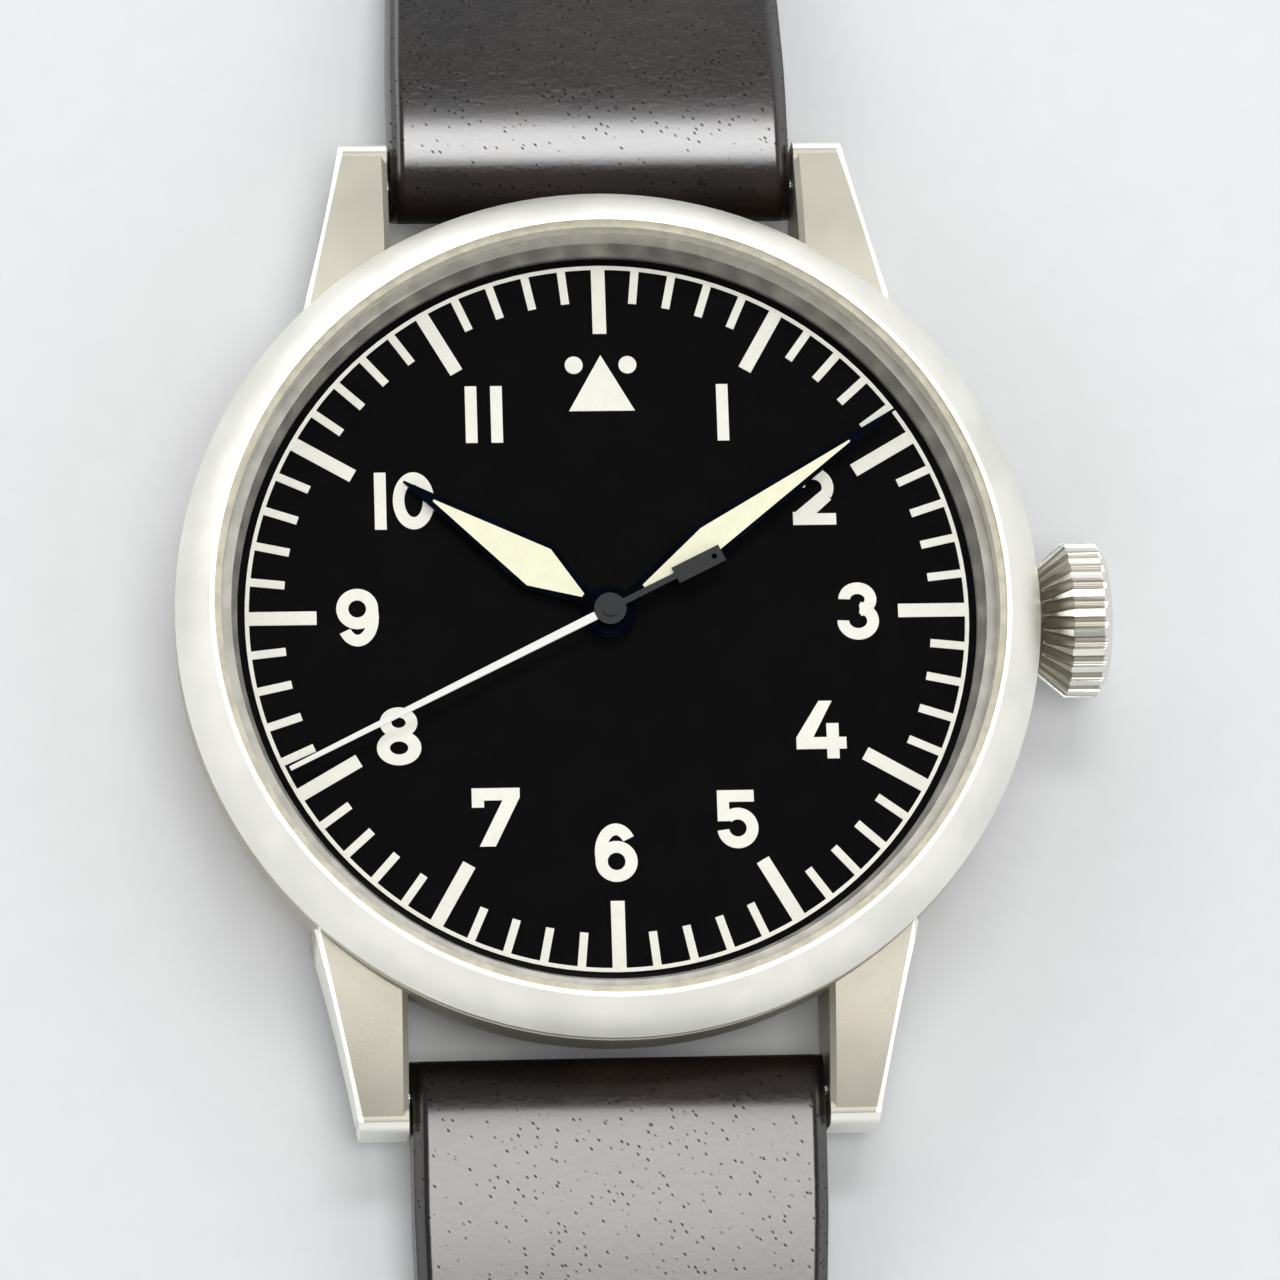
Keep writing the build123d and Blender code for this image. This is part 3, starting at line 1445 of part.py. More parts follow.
# Barrel with its teeth, cover and spring
with BuildPart() as barrel_drum:
    add(disc(barrel_drum_radius, barrel_bottom_z, barrel_top_z, barrel_place))
    add(
        gear(
            barrel_teeth,
            barrel_module,
            barrel_teeth_z,
            barrel_teeth_height,
            barrel_place,
            barrel_direction + 180,
        )
    )
    spring_low = barrel_bottom_z + barrel_wall / 2
    spring_high = barrel_top_z - barrel_wall / 2
    add(disc(barrel_drum_radius - barrel_wall, spring_low, spring_high, barrel_place), mode=Mode.SUBTRACT)
    add(
        disc(barrel_arbor_radius + running_gap, barrel_bottom_z, barrel_top_z, barrel_place),
        mode=Mode.SUBTRACT,
    )
export(barrel_drum, "barrel_drum")

with BuildPart() as barrel_arbor:
    arbor_low = ratchet_z - ratchet_cap_height
    add(disc(barrel_arbor_radius, wheel_recess_z, barrel_ceiling_z - fit_gap, barrel_place))
    add(disc(barrel_core_radius, spring_low + running_gap, spring_high - running_gap, barrel_place))
    with BuildSketch(Plane.XY.offset(ratchet_z)):
        with Locations(barrel_place):
            Rectangle(barrel_arbor_square, barrel_arbor_square)
    extrude(amount=wheel_recess_z - ratchet_z)
    add(disc(ratchet_cap_radius, arbor_low, ratchet_z, barrel_place))
    with BuildSketch(Plane.XY.offset(arbor_low)):
        with Locations(barrel_place):
            Rectangle(2 * ratchet_cap_radius, screw_slot_width)
    extrude(amount=screw_slot_depth, mode=Mode.SUBTRACT)
export(barrel_arbor, "barrel_arbor")

with BuildPart() as mainspring:
    spring_inner = barrel_core_radius + mainspring_width + mainspring_pitch / 4
    add(
        spiral(
            spring_inner,
            mainspring_pitch,
            mainspring_turns,
            mainspring_width,
            spring_low + fit_gap,
            spring_high - spring_low - 2 * fit_gap,
            barrel_place,
        )
    )
export(mainspring, "mainspring")

# Going train
with BuildPart() as centre_wheel:
    add(
        gear(
            centre_teeth,
            centre_module,
            centre_wheel_z,
            wheel_thickness,
            tooth_at=third_direction,
            spokes=5,
            hub=2.4 * centre_arbor_radius,
            bore=centre_arbor_bore,
        )
    )
    add(disc(centre_arbor_radius, centre_wheel_z, minute_wheel_z, bore=centre_arbor_bore))
    add(
        gear(
            centre_pinion_leaves,
            barrel_module,
            centre_pinion_z,
            centre_pinion_height,
            tooth_at=barrel_direction + 180 / centre_pinion_leaves,
            bore=centre_arbor_bore,
        )
    )
export(centre_wheel, "centre_wheel")

with BuildPart() as cannon_pinion:
    add(
        gear(
            cannon_leaves,
            motion_module,
            minute_wheel_z,
            minute_wheel_thickness,
            tooth_at=minute_wheel_direction + 180 / cannon_leaves,
            bore=centre_arbor_bore,
        )
    )
    add(disc(centre_arbor_radius, minute_wheel_z, cannon_pipe_top_z, bore=centre_arbor_bore))
export(cannon_pinion, "cannon_pinion")

with BuildPart() as third_wheel:
    add(
        gear(
            third_teeth,
            third_module,
            third_wheel_z,
            wheel_thickness,
            third_place,
            third_direction + 180,
            spokes=5,
            hub=4 * arbor_radius,
        )
    )
    add(
        gear(
            third_pinion_leaves,
            centre_module,
            third_pinion_z,
            third_pinion_height,
            third_place,
            third_direction + 180 + 180 / third_pinion_leaves,
        )
    )
    add(disc(arbor_radius, third_wheel_z, plate_pivot_z - fit_gap, third_place))
    add(disc(pivot_radius, train_pivot_z + fit_gap, third_wheel_z, third_place))
export(third_wheel, "third_wheel")

with BuildPart() as fourth_wheel:
    add(
        gear(
            fourth_teeth,
            fourth_module,
            fourth_wheel_z,
            wheel_thickness,
            tooth_at=escape_direction,
            spokes=5,
            hub=4 * arbor_radius,
        )
    )
    add(
        gear(
            fourth_pinion_leaves,
            third_module,
            fourth_pinion_z,
            fourth_pinion_height,
            tooth_at=third_direction + 180 / fourth_pinion_leaves,
        )
    )
    add(disc(arbor_radius, fourth_pinion_z, seconds_arbor_top_z))
    add(disc(pivot_radius, train_pivot_z + fit_gap, fourth_pinion_z))
export(fourth_wheel, "fourth_wheel")

with BuildPart() as escape_wheel:
    with BuildSketch(Plane.XY.offset(escape_wheel_z)):
        with BuildLine():
            tooth_step = 360 / escape_teeth
            club = []
            for index in range(escape_teeth):
                lead = index * tooth_step
                club.append(polar(escape_root_radius, lead - 0.1 * tooth_step))
                club.append(polar(escape_tip_radius, lead))
                club.append(polar(escape_tip_radius, lead + 0.16 * tooth_step))
                club.append(polar(escape_root_radius, lead + 0.3 * tooth_step))
            Polyline(*club, close=True)
        make_face()
        escape_window = escape_root_radius - escape_rim
        Circle(escape_window, mode=Mode.SUBTRACT)
        Circle(3 * arbor_radius)
        with PolarLocations(escape_window / 2, 4):
            Rectangle(escape_window + escape_rim, escape_rim)
    extrude(amount=wheel_thickness)
    # The wheel stands about its own pivot.
escape_disc = escape_wheel.part.moved(Location((*escape_place, 0)))
with BuildPart() as escape_wheel:
    add(escape_disc)
    add(
        gear(
            escape_pinion_leaves,
            fourth_module,
            escape_pinion_z,
            escape_pinion_height,
            escape_place,
            escape_direction + 180 + 180 / escape_pinion_leaves,
        )
    )
    add(disc(arbor_radius, escape_pinion_z, plate_pivot_z - fit_gap, escape_place))
    add(disc(pivot_radius, train_pivot_z + fit_gap, escape_pinion_z, escape_place))
export(escape_wheel, "escape_wheel")

# Pallet fork: two stones over the escape wheel and a fork to the balance's roller
with BuildPart() as pallet_fork:
    stone_angle = degrees(asin(escape_tip_radius / pallet_distance))
    stone_reach = escape_tip_radius + fork_stone_gap
    with BuildSketch(Plane.XY.offset(escape_wheel_z)):
        with Locations(pallet_place):
            Circle(2 * arbor_radius)
        fork_end = polar(pallet_balance_distance - fork_end_gap, balance_direction, pallet_place)
        with BuildLine() as tail:
            Line(pallet_place, fork_end)
        trace(tail.line, line_width=fork_arm_width)
        for side in (-1, 1):
            stone_at = balance_direction + side * 30
            tip = polar(stone_reach, stone_at, escape_place)
            root = polar(stone_reach + 2 * fork_stone_width, stone_at, escape_place)
            with BuildLine() as stone:
                Line(tip, root)
            trace(stone.line, line_width=fork_stone_width)
            with BuildLine() as arm:
                Line(pallet_place, root)
            trace(arm.line, line_width=fork_arm_width)
    extrude(amount=fork_thickness)
    add(disc(arbor_radius, pallet_bridge_z + fit_gap, plate_pivot_z - fit_gap, pallet_place))
export(pallet_fork, "pallet_fork")

with BuildPart() as balance_wheel:
    with BuildSketch(Plane.XY.offset(balance_z)):
        with Locations(balance_place):
            Circle(balance_radius)
            Circle(balance_radius - balance_rim, mode=Mode.SUBTRACT)
            Circle(2.5 * arbor_radius)
            with PolarLocations((balance_radius - balance_rim) / 2, balance_arms):
                Rectangle(balance_radius - balance_rim + fit_gap, balance_arm_width)
    extrude(amount=balance_height)
    add(disc(arbor_radius, balance_z, plate_pivot_z - fit_gap, balance_place))
    add(disc(collet_radius, hairspring_z, balance_z, balance_place))
    add(disc(pivot_radius, (bridge_bottom_z + cock_top_z) / 2 + running_gap, hairspring_z, balance_place))
    add(disc(roller_radius, roller_z, roller_z + roller_height, balance_place))
    pin_place = polar(impulse_pin_ring, balance_direction + 180, balance_place)
    add(disc(impulse_pin_radius, roller_z, impulse_pin_end_z, pin_place))
export(balance_wheel, "balance_wheel")

with BuildPart() as hairspring:
    add(
        spiral(
            hairspring_inner,
            hairspring_pitch,
            hairspring_turns,
            hairspring_width,
            hairspring_z,
            hairspring_height,
            balance_place,
            cock_direction,
        )
    )
export(hairspring, "hairspring")
print("hairspring gap between turns", hairspring_pitch - hairspring_width)
print("mainspring gap between turns", mainspring_pitch - mainspring_width)

# Motion works under the dial
with BuildPart() as minute_wheel:
    add(
        gear(
            minute_teeth,
            motion_module,
            minute_wheel_z,
            minute_wheel_thickness,
            minute_wheel_place,
            minute_wheel_direction + 180,
            bore=motion_post_radius + running_gap,
        )
    )
    add(
        gear(
            minute_pinion_leaves,
            hour_module,
            minute_pinion_z,
            minute_pinion_height,
            minute_wheel_place,
            minute_wheel_direction + 180 + 180 / minute_pinion_leaves,
            bore=motion_post_radius + running_gap,
        )
    )
export(minute_wheel, "minute_wheel")

with BuildPart() as setting_wheel:
    add(
        gear(
            setting_teeth,
            motion_module,
            minute_wheel_z,
            minute_wheel_thickness,
            setting_wheel_place,
            setting_wheel_direction + 180 + 180 / setting_teeth,
            bore=motion_post_radius + running_gap,
        )
    )
export(setting_wheel, "setting_wheel")

with BuildPart() as hour_wheel:
    add(
        gear(
            hour_teeth,
            hour_module,
            hour_wheel_z,
            hour_wheel_thickness,
            tooth_at=minute_wheel_direction,
            bore=hour_pipe_bore,
        )
    )
    add(disc(hour_pipe_radius, hour_wheel_z, hour_pipe_top_z, bore=hour_pipe_bore))
export(hour_wheel, "hour_wheel")

# Spring bars
with BuildPart() as spring_bar_tubes:
    with BuildSketch(Plane.YZ.offset(-bar_tube_half)):
        with Locations((bar_y, bar_z), (-bar_y, bar_z)):
            Circle(bar_tube_radius)
            Circle(bar_tube_bore, mode=Mode.SUBTRACT)
    extrude(amount=2 * bar_tube_half)
export(spring_bar_tubes, "spring_bar_tubes")

with BuildPart() as spring_bar_springs:
    with BuildSketch(Plane.YZ.offset(-bar_spring_half)):
        with Locations((bar_y, bar_z), (-bar_y, bar_z)):
            Circle(bar_tube_bore - running_gap)
            Circle(bar_tube_bore - running_gap - bar_spring_wall, mode=Mode.SUBTRACT)
    extrude(amount=2 * bar_spring_half)
export(spring_bar_springs, "spring_bar_springs")


def bar_pins(side):
    """The two sprung pins at one side, for both spring bars."""
    with BuildPart() as pins:
        with BuildSketch(Plane.YZ.offset(side * bar_pin_inner_x)):
            with Locations((bar_y, bar_z), (-bar_y, bar_z)):
                Circle(bar_pin_radius)
        extrude(amount=side * (bar_pin_tip_x - bar_pin_inner_x))
        with BuildSketch(Plane.YZ.offset(side * bar_flange_x)):
            with Locations((bar_y, bar_z), (-bar_y, bar_z)):
                Circle(bar_flange_radius)
        extrude(amount=side * bar_flange_width)
    return pins.part


with BuildPart() as spring_bar_pins_right:
    add(bar_pins(1))
export(spring_bar_pins_right, "spring_bar_pins_right")

with BuildPart() as spring_bar_pins_left:
    add(bar_pins(-1))
export(spring_bar_pins_left, "spring_bar_pins_left")


# Strap halves: side view first, then cut to the plan
def strap_plan(length, side, pointed):
    """The strap half's plan outline as a tall solid, tapering away from the lugs."""
    wide = strap_width / 2
    narrow = strap_narrow_width / 2
    near = bar_y - strap_loop_radius
    taper_start = bar_y + strap_full_length
    taper_end = taper_start + strap_taper_length
    end = bar_y + length
    with BuildPart() as plan:
        with BuildSketch(Plane.XY.offset(-cut_overrun)):
            with BuildLine():
                if pointed:
                    shoulder = end - strap_tip_round
                    Polyline((-narrow, shoulder * side), (-narrow, taper_end * side), (-wide, taper_start * side))
                    Polyline((-wide, taper_start * side), (-wide, near * side), (wide, near * side))
                    Polyline((wide, near * side), (wide, taper_start * side), (narrow, taper_end * side))
                    Line((narrow, taper_end * side), (narrow, shoulder * side))
                    ThreePointArc((narrow, shoulder * side), (0, end * side), (-narrow, shoulder * side))
                else:
                    back = end + buckle_loop_radius
                    Polyline(
                        (-narrow, back * side),
                        (-narrow, taper_end * side),
                        (-wide, taper_start * side),
                        (-wide, near * side),
                        (wide, near * side),
                        (wide, taper_start * side),
                        (narrow, taper_end * side),
                        (narrow, back * side),
                        close=True,
                    )
            make_face()
        extrude(amount=bezel_top_z)
    return plan.part


slope_end = bar_y + strap_slope_run
lift_start = slope_end + strap_rise_run
buckle_y = bar_y + buckle_half_length
buckle_z = strap_lift + strap_thickness / 2
with BuildPart() as strap_buckle_half:
    with BuildSketch(Plane.YZ.offset(-strap_width / 2)):
        with BuildLine():
            Spline((bar_y, bar_z + strap_loop_radius), (slope_end, strap_thickness), tangents=((1, 0), (1, 0)))
            Spline(
                (slope_end, strap_thickness),
                (lift_start, strap_lift + strap_thickness),
                tangents=((1, 0), (1, 0)),
            )
            Polyline(
                (lift_start, strap_lift + strap_thickness),
                (buckle_y, strap_lift + strap_thickness),
                (buckle_y, strap_lift),
                (lift_start, strap_lift),
            )
            Spline((slope_end, 0), (lift_start, strap_lift), tangents=((1, 0), (1, 0)))
            Spline((bar_y, bar_z - strap_loop_radius), (slope_end, 0), tangents=((1, 0), (1, 0)))
            Line((bar_y, bar_z - strap_loop_radius), (bar_y, bar_z + strap_loop_radius))
        make_face()
        with Locations((bar_y, bar_z)):
            Circle(strap_loop_radius)
            Circle(strap_bar_bore, mode=Mode.SUBTRACT)
        with Locations((buckle_y, buckle_z)):
            Circle(buckle_loop_radius)
            Circle(buckle_bar_radius + buckle_bar_gap, mode=Mode.SUBTRACT)
    extrude(amount=strap_width)
    add(strap_plan(buckle_half_length, 1, False), mode=Mode.INTERSECT)
    with BuildSketch(Plane.XY.offset(-cut_overrun)):
        with Locations((0, buckle_y)):
            SlotOverall(2 * tongue_slot_length, tongue_slot_width, rotation=90)
    extrude(amount=bezel_top_z, mode=Mode.SUBTRACT)
export(strap_buckle_half, "strap_buckle_half")

tip_y = bar_y + hole_half_length
arch_y = (slope_end + tip_y) / 2
with BuildPart() as strap_hole_half:
    with BuildSketch(Plane.YZ.offset(-strap_width / 2)):
        with BuildLine():
            Spline(
                (-bar_y, bar_z + strap_loop_radius),
                (-slope_end, strap_thickness),
                tangents=((-1, 0), (-1, 0)),
            )
            Spline(
                (-slope_end, strap_thickness),
                (-arch_y, strap_arch + (strap_thickness + strap_tip_thickness) / 2),
                (-tip_y, strap_tip_thickness),
                tangents=((-1, 0), (-1, 0)),
            )
            Line((-tip_y, strap_tip_thickness), (-tip_y, 0))
            Spline((-slope_end, 0), (-arch_y, strap_arch), (-tip_y, 0), tangents=((-1, 0), (-1, 0)))
            Spline((-bar_y, bar_z - strap_loop_radius), (-slope_end, 0), tangents=((-1, 0), (-1, 0)))
            Line((-bar_y, bar_z - strap_loop_radius), (-bar_y, bar_z + strap_loop_radius))
        make_face()
        with Locations((-bar_y, bar_z)):
            Circle(strap_loop_radius)
            Circle(strap_bar_bore, mode=Mode.SUBTRACT)
    extrude(amount=strap_width)
    add(strap_plan(hole_half_length, -1, True), mode=Mode.INTERSECT)
    with BuildSketch(Plane.XY.offset(-cut_overrun)):
        hole_places = [(0, -tip_y + strap_hole_first + index * strap_hole_pitch) for index in range(strap_holes)]
        with Locations(*hole_places):
            Circle(strap_hole_radius)
    extrude(amount=bezel_top_z, mode=Mode.SUBTRACT)
export(strap_hole_half, "strap_hole_half")

# Buckle: bar, frame and tongue
buckle_inner_half = buckle_frame_half - buckle_frame_arm
rung_y = buckle_y + buckle_frame_reach
with BuildPart() as buckle_frame:
    with BuildSketch(Plane.XY.offset(-cut_overrun)):
        frame_back = buckle_y - buckle_frame_back
        with Locations((0, (frame_back + rung_y) / 2)):
            RectangleRounded(2 * buckle_frame_half, rung_y - frame_back, buckle_corner)
        window_end = rung_y - buckle_frame_rung
        window_start = frame_back - cut_overrun
        with Locations((0, (window_start + window_end) / 2)):
            Rectangle(2 * buckle_inner_half, window_end - window_start, mode=Mode.SUBTRACT)
    extrude(amount=bezel_top_z)
    with BuildSketch(Plane.YZ.offset(-buckle_frame_half)):
        with BuildLine():
            rest_y = buckle_y + buckle_frame_back
            Polyline(
                (frame_back, buckle_z - buckle_frame_height / 2),
                (rest_y, buckle_z - buckle_frame_height / 2),
                (window_end, 0),
                (rung_y, 0),
                (rung_y, buckle_frame_height),
                (window_end, buckle_frame_height),
                (rest_y, buckle_z + buckle_frame_height / 2),
                (frame_back, buckle_z + buckle_frame_height / 2),
                close=True,
            )
        make_face()
    extrude(amount=2 * buckle_frame_half, mode=Mode.INTERSECT)
    with BuildSketch(Plane.YZ.offset(-buckle_frame_half)):
        with Locations((buckle_y, buckle_z)):
            Circle(buckle_bar_radius)
    extrude(amount=2 * buckle_frame_half, mode=Mode.SUBTRACT)
export(buckle_frame, "buckle_frame")

with BuildPart() as buckle_bar:
    with BuildSketch(Plane.YZ.offset(-buckle_frame_half)):
        with Locations((buckle_y, buckle_z)):
            Circle(buckle_bar_radius)
    extrude(amount=2 * buckle_frame_half)
export(buckle_bar, "buckle_bar")

with BuildPart() as buckle_tongue:
    with BuildSketch(Plane.YZ.offset(-tongue_width / 2)):
        with BuildLine():
            tongue_low = buckle_frame_height + tongue_rise
            eye_top = buckle_z + tongue_eye_radius
            tip_end = rung_y + tongue_overhang
            Polyline(
                (buckle_y, eye_top),
                (window_end, tongue_low + tongue_thickness),
                (tip_end, tongue_low + tongue_thickness / 2),
                (tip_end, tongue_low),
                (window_end - tongue_rise, tongue_low),
                (buckle_y, eye_top - tongue_thickness),
                close=True,
            )
        make_face()
        with Locations((buckle_y, buckle_z)):
            Circle(tongue_eye_radius)
            Circle(buckle_bar_radius + buckle_bar_gap, mode=Mode.SUBTRACT)
    extrude(amount=tongue_width)
export(buckle_tongue, "buckle_tongue")


def keeper(back):
    """A closed leather loop round the strap, its near side back from the buckle."""
    inner_half = strap_narrow_width / 2 + keeper_side_gap
    inner_low = strap_lift - keeper_under_gap
    inner_high = strap_lift + strap_thickness + keeper_head_room
    middle = (inner_low + inner_high) / 2
    with BuildPart() as loop:
        with BuildSketch(Plane.XZ.offset(-(buckle_y - back))):
            with Locations((0, middle)):
                RectangleRounded(
                    2 * (inner_half + keeper_wall),
                    inner_high - inner_low + 2 * keeper_wall,
                    keeper_corner + keeper_wall / 2,
                )
                RectangleRounded(2 * inner_half, inner_high - inner_low, keeper_corner / 2, mode=Mode.SUBTRACT)
        extrude(amount=keeper_length)
    return loop.part


with BuildPart() as fixed_keeper:
    add(keeper(fixed_keeper_back))
export(fixed_keeper, "fixed_keeper")

with BuildPart() as sliding_keeper:
    add(keeper(sliding_keeper_back))
export(sliding_keeper, "sliding_keeper")
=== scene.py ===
"""Looks of the pilot watch: its metals, glass, printing, leather, light and camera.

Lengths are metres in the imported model's frame. The flat back lies at z = 0, +Z goes to the
crystal, +Y to twelve o'clock and +X to the crown.
"""

from __future__ import annotations

import logging
import math
from collections.abc import Sequence
from dataclasses import dataclass
from enum import Enum
from typing import Any

import bmesh
import bpy
from mathutils import Matrix, Vector

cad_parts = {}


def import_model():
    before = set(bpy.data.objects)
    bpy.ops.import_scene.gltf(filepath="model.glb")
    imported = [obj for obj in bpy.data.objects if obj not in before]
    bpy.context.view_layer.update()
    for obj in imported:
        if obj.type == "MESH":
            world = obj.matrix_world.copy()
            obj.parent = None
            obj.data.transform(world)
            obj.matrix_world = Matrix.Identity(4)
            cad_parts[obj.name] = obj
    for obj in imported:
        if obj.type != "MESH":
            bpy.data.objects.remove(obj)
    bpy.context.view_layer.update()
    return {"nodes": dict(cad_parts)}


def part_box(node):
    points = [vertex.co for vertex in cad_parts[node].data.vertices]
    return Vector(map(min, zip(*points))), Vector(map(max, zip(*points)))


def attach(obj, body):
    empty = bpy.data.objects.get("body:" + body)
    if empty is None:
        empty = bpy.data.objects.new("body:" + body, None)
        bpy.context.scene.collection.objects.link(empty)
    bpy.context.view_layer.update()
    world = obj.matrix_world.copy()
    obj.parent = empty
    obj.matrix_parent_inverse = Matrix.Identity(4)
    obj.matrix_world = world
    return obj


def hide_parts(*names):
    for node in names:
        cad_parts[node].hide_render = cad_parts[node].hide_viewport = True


log = logging.getLogger("pilot_watch")

Colour = tuple[float, float, float]
Point = tuple[float, float, float]

MILLIMETRE = 0.001
EDGE_DISTANCE = "edge_distance"
HAIR = 2e-5


def smooth_step(share: float) -> float:
    """Returns a share from 0 to 1 eased at both ends."""
    held = min(max(share, 0.0), 1.0)
    return held * held * (3.0 - 2.0 * held)


def between(start: float, end: float, share: float) -> float:
    """Returns the value a share of the way from start to end."""
    return start + (end - start) * share


def dimmed(colour: Colour, share: float) -> Colour:
    """Returns a colour at a share of its brightness."""
    return tuple(share * part for part in colour)


class Value:
    """A number on a shader socket that takes part in Python arithmetic."""

    def __init__(self, graph: "Graph", socket: bpy.types.NodeSocket) -> None:
        """Keeps the socket and the graph that it belongs to.

        Args:
            graph: The node tree in which further nodes are made.
            socket: The output socket that carries the number.
        """
        self.graph = graph
        self.socket = socket

    def apply(self, operation: str, first: Any, second: Any = None) -> "Value":
        """Adds one Math node.

        Args:
            operation: The Math node's operation.
            first: Its first value or link.
            second: Its second value or link, where it has one.

        Returns:
            The node's result.
        """
        inputs = {0: first} if second is None else {0: first, 1: second}
        node = self.graph.node("ShaderNodeMath", {"operation": operation}, inputs)
        return Value(self.graph, node.outputs[0])

    def __add__(self, other: Any) -> "Value":
        """Returns the sum."""
        return self.apply("ADD", self, other)

    def __radd__(self, other: Any) -> "Value":
        """Returns the sum with a plain number first."""
        return self.apply("ADD", other, self)

    def __sub__(self, other: Any) -> "Value":
        """Returns the difference."""
        return self.apply("SUBTRACT", self, other)

    def __rsub__(self, other: Any) -> "Value":
        """Returns the difference with a plain number first."""
        return self.apply("SUBTRACT", other, self)

    def __mul__(self, other: Any) -> "Value":
        """Returns the product."""
        return self.apply("MULTIPLY", self, other)

    def __rmul__(self, other: Any) -> "Value":
        """Returns the product with a plain number first."""
        return self.apply("MULTIPLY", other, self)

    def __abs__(self) -> "Value":
        """Returns the absolute value."""
        return self.apply("ABSOLUTE", self)

    def sine(self) -> "Value":
        """Returns the sine."""
        return self.apply("SINE", self)

    def ramp(self, low: float, high: float, start: float = 0.0, end: float = 1.0) -> "Value":
        """Maps a range smoothly onto another and holds it there.

        Args:
            low: The value that gives start.
            high: The value that gives end.
            start: The result at and beyond low.
            end: The result at and beyond high.

        Returns:
            The mapped value.
        """
        return self.mapped("SMOOTHSTEP", low, high, start, end)

    def line(self, low: float, high: float, start: float, end: float) -> "Value":
        """Maps a range evenly onto another and holds it there, with ramp's arguments."""
        return self.mapped("LINEAR", low, high, start, end)

    def mapped(self, way: str, low: float, high: float, start: float, end: float) -> "Value":
        """Adds one Map Range node.

        Args:
            way: Its interpolation.
            low: The value that gives start.
            high: The value that gives end.
            start: The result at and beyond low.
            end: The result at and beyond high.

        Returns:
            The mapped value.
        """
        node = self.graph.node(
            "ShaderNodeMapRange",
            {"interpolation_type": way},
            {"Value": self, "From Min": low, "From Max": high, "To Min": start, "To Max": end},
        )
        return Value(self.graph, node.outputs["Result"])


class Graph:
    """The node tree of one material or of the world."""

    COLOUR_A = 6
    COLOUR_B = 7
    COLOUR_RESULT = 2

    def __init__(self, tree: bpy.types.NodeTree) -> None:
        """Empties the tree.

        Args:
            tree: The node tree to fill.
        """
        self.tree = tree
        self.tree.nodes.clear()

    def node(self, kind: str, settings: dict[str, Any], inputs: dict[Any, Any]) -> bpy.types.Node:
        """Makes one node, sets it up, then feeds its sockets.

        Args:
            kind: The node's type name.
            settings: Attributes of the node, which are set first.
            inputs: Numbers, values or sockets to link, by input name or number.

        Returns:
            The node.
        """
        made = self.tree.nodes.new(kind)
        for name, setting in settings.items():
            setattr(made, name, setting)
        for name, given in inputs.items():
            if isinstance(given, Value):
                self.tree.links.new(given.socket, made.inputs[name])
            elif isinstance(given, bpy.types.NodeSocket):
                self.tree.links.new(given, made.inputs[name])
            else:
                made.inputs[name].default_value = given
        return made

    def millimetres(
        self, stretch: Point = (1.0, 1.0, 1.0), turn: float = 0.0
    ) -> bpy.types.NodeSocket:
        """Gives Object coordinates in millimetres.

        Args:
            stretch: Factors on the three turned axes, which squeeze a pattern along them.
            turn: The axes' turn about Z in radians.

        Returns:
            The vector socket.
        """
        place = self.node("ShaderNodeTexCoord", {}, {})
        mapping = self.node(
            "ShaderNodeMapping",
            {"vector_type": "TEXTURE"},
            {
                "Vector": place.outputs["Object"],
                "Rotation": (0.0, 0.0, turn),
                "Scale": tuple(MILLIMETRE / share for share in stretch),
            },
        )
        return mapping.outputs["Vector"]

    def axes(self) -> tuple[Value, Value, Value]:
        """Gives the three Object coordinates.

        Returns:
            The values of X, Y and Z in metres.
        """
        place = self.node("ShaderNodeTexCoord", {}, {})
        parts = self.node("ShaderNodeSeparateXYZ", {}, {"Vector": place.outputs["Object"]})
        return tuple(Value(self, parts.outputs[name]) for name in ("X", "Y", "Z"))

    def noise(self, vector: bpy.types.NodeSocket, scale: float, detail: float = 3.0) -> Value:
        """Makes a noise of about 0.3 to 0.7.

        Args:
            vector: The place that it is read at.
            scale: Its features per unit of the vector.
            detail: How many finer layers it has.

        Returns:
            The noise's value.
        """
        node = self.node(
            "ShaderNodeTexNoise",
            {},
            {"Vector": vector, "Scale": scale, "Detail": detail, "Roughness": 0.55},
        )
        return Value(self, node.outputs[0])

    def cells(self, vector: bpy.types.NodeSocket, scale: float, randomness: float = 1.0) -> Value:
        """Measures how far the nearest of scattered points is.

        Args:
            vector: The place that they are read at.
            scale: Points per unit of the vector.
            randomness: 0 for an even grid of points, 1 for scattered ones.

        Returns:
            The distance as a share of the points' spacing.
        """
        node = self.node(
            "ShaderNodeTexVoronoi",
            {"feature": "F1"},
            {"Vector": vector, "Scale": scale, "Randomness": randomness},
        )
        return Value(self, node.outputs["Distance"])

    def mix(self, factor: Any, first: Any, second: Any) -> bpy.types.NodeSocket:
        """Mixes two colours.

        Args:
            factor: The second colour's share.
            first: A colour or a colour socket.
            second: A colour or a colour socket.

        Returns:
            The mixed colour's socket.
        """
        first, second = [
            (*given, 1.0) if isinstance(given, tuple) else given for given in (first, second)
        ]
        node = self.node(
            "ShaderNodeMix",
            {"data_type": "RGBA"},
            {"Factor": factor, self.COLOUR_A: first, self.COLOUR_B: second},
        )
        return node.outputs[self.COLOUR_RESULT]

    def uneven(self, cloud: Value, dark: Colour, light: Colour) -> bpy.types.NodeSocket:
        """Returns a colour that wanders between two with a noise."""
        return self.mix(cloud.ramp(0.35, 0.65), dark, light)

    def bump(self, height: Value, depth: float) -> bpy.types.NodeSocket:
        """Returns a normal for a height of 0 to 1 that stands depth metres."""
        sockets = {"Strength": 1.0, "Distance": depth, "Height": height}
        return self.node("ShaderNodeBump", {}, sockets).outputs["Normal"]

    def finish(self, inputs: dict[str, Any]) -> None:
        """Ends the tree in one Principled shader.

        Args:
            inputs: The shader's values and links by socket name.
        """
        shader = self.node("ShaderNodeBsdfPrincipled", {}, inputs)
        out = self.node("ShaderNodeOutputMaterial", {}, {})
        self.tree.links.new(shader.outputs[0], out.inputs["Surface"])


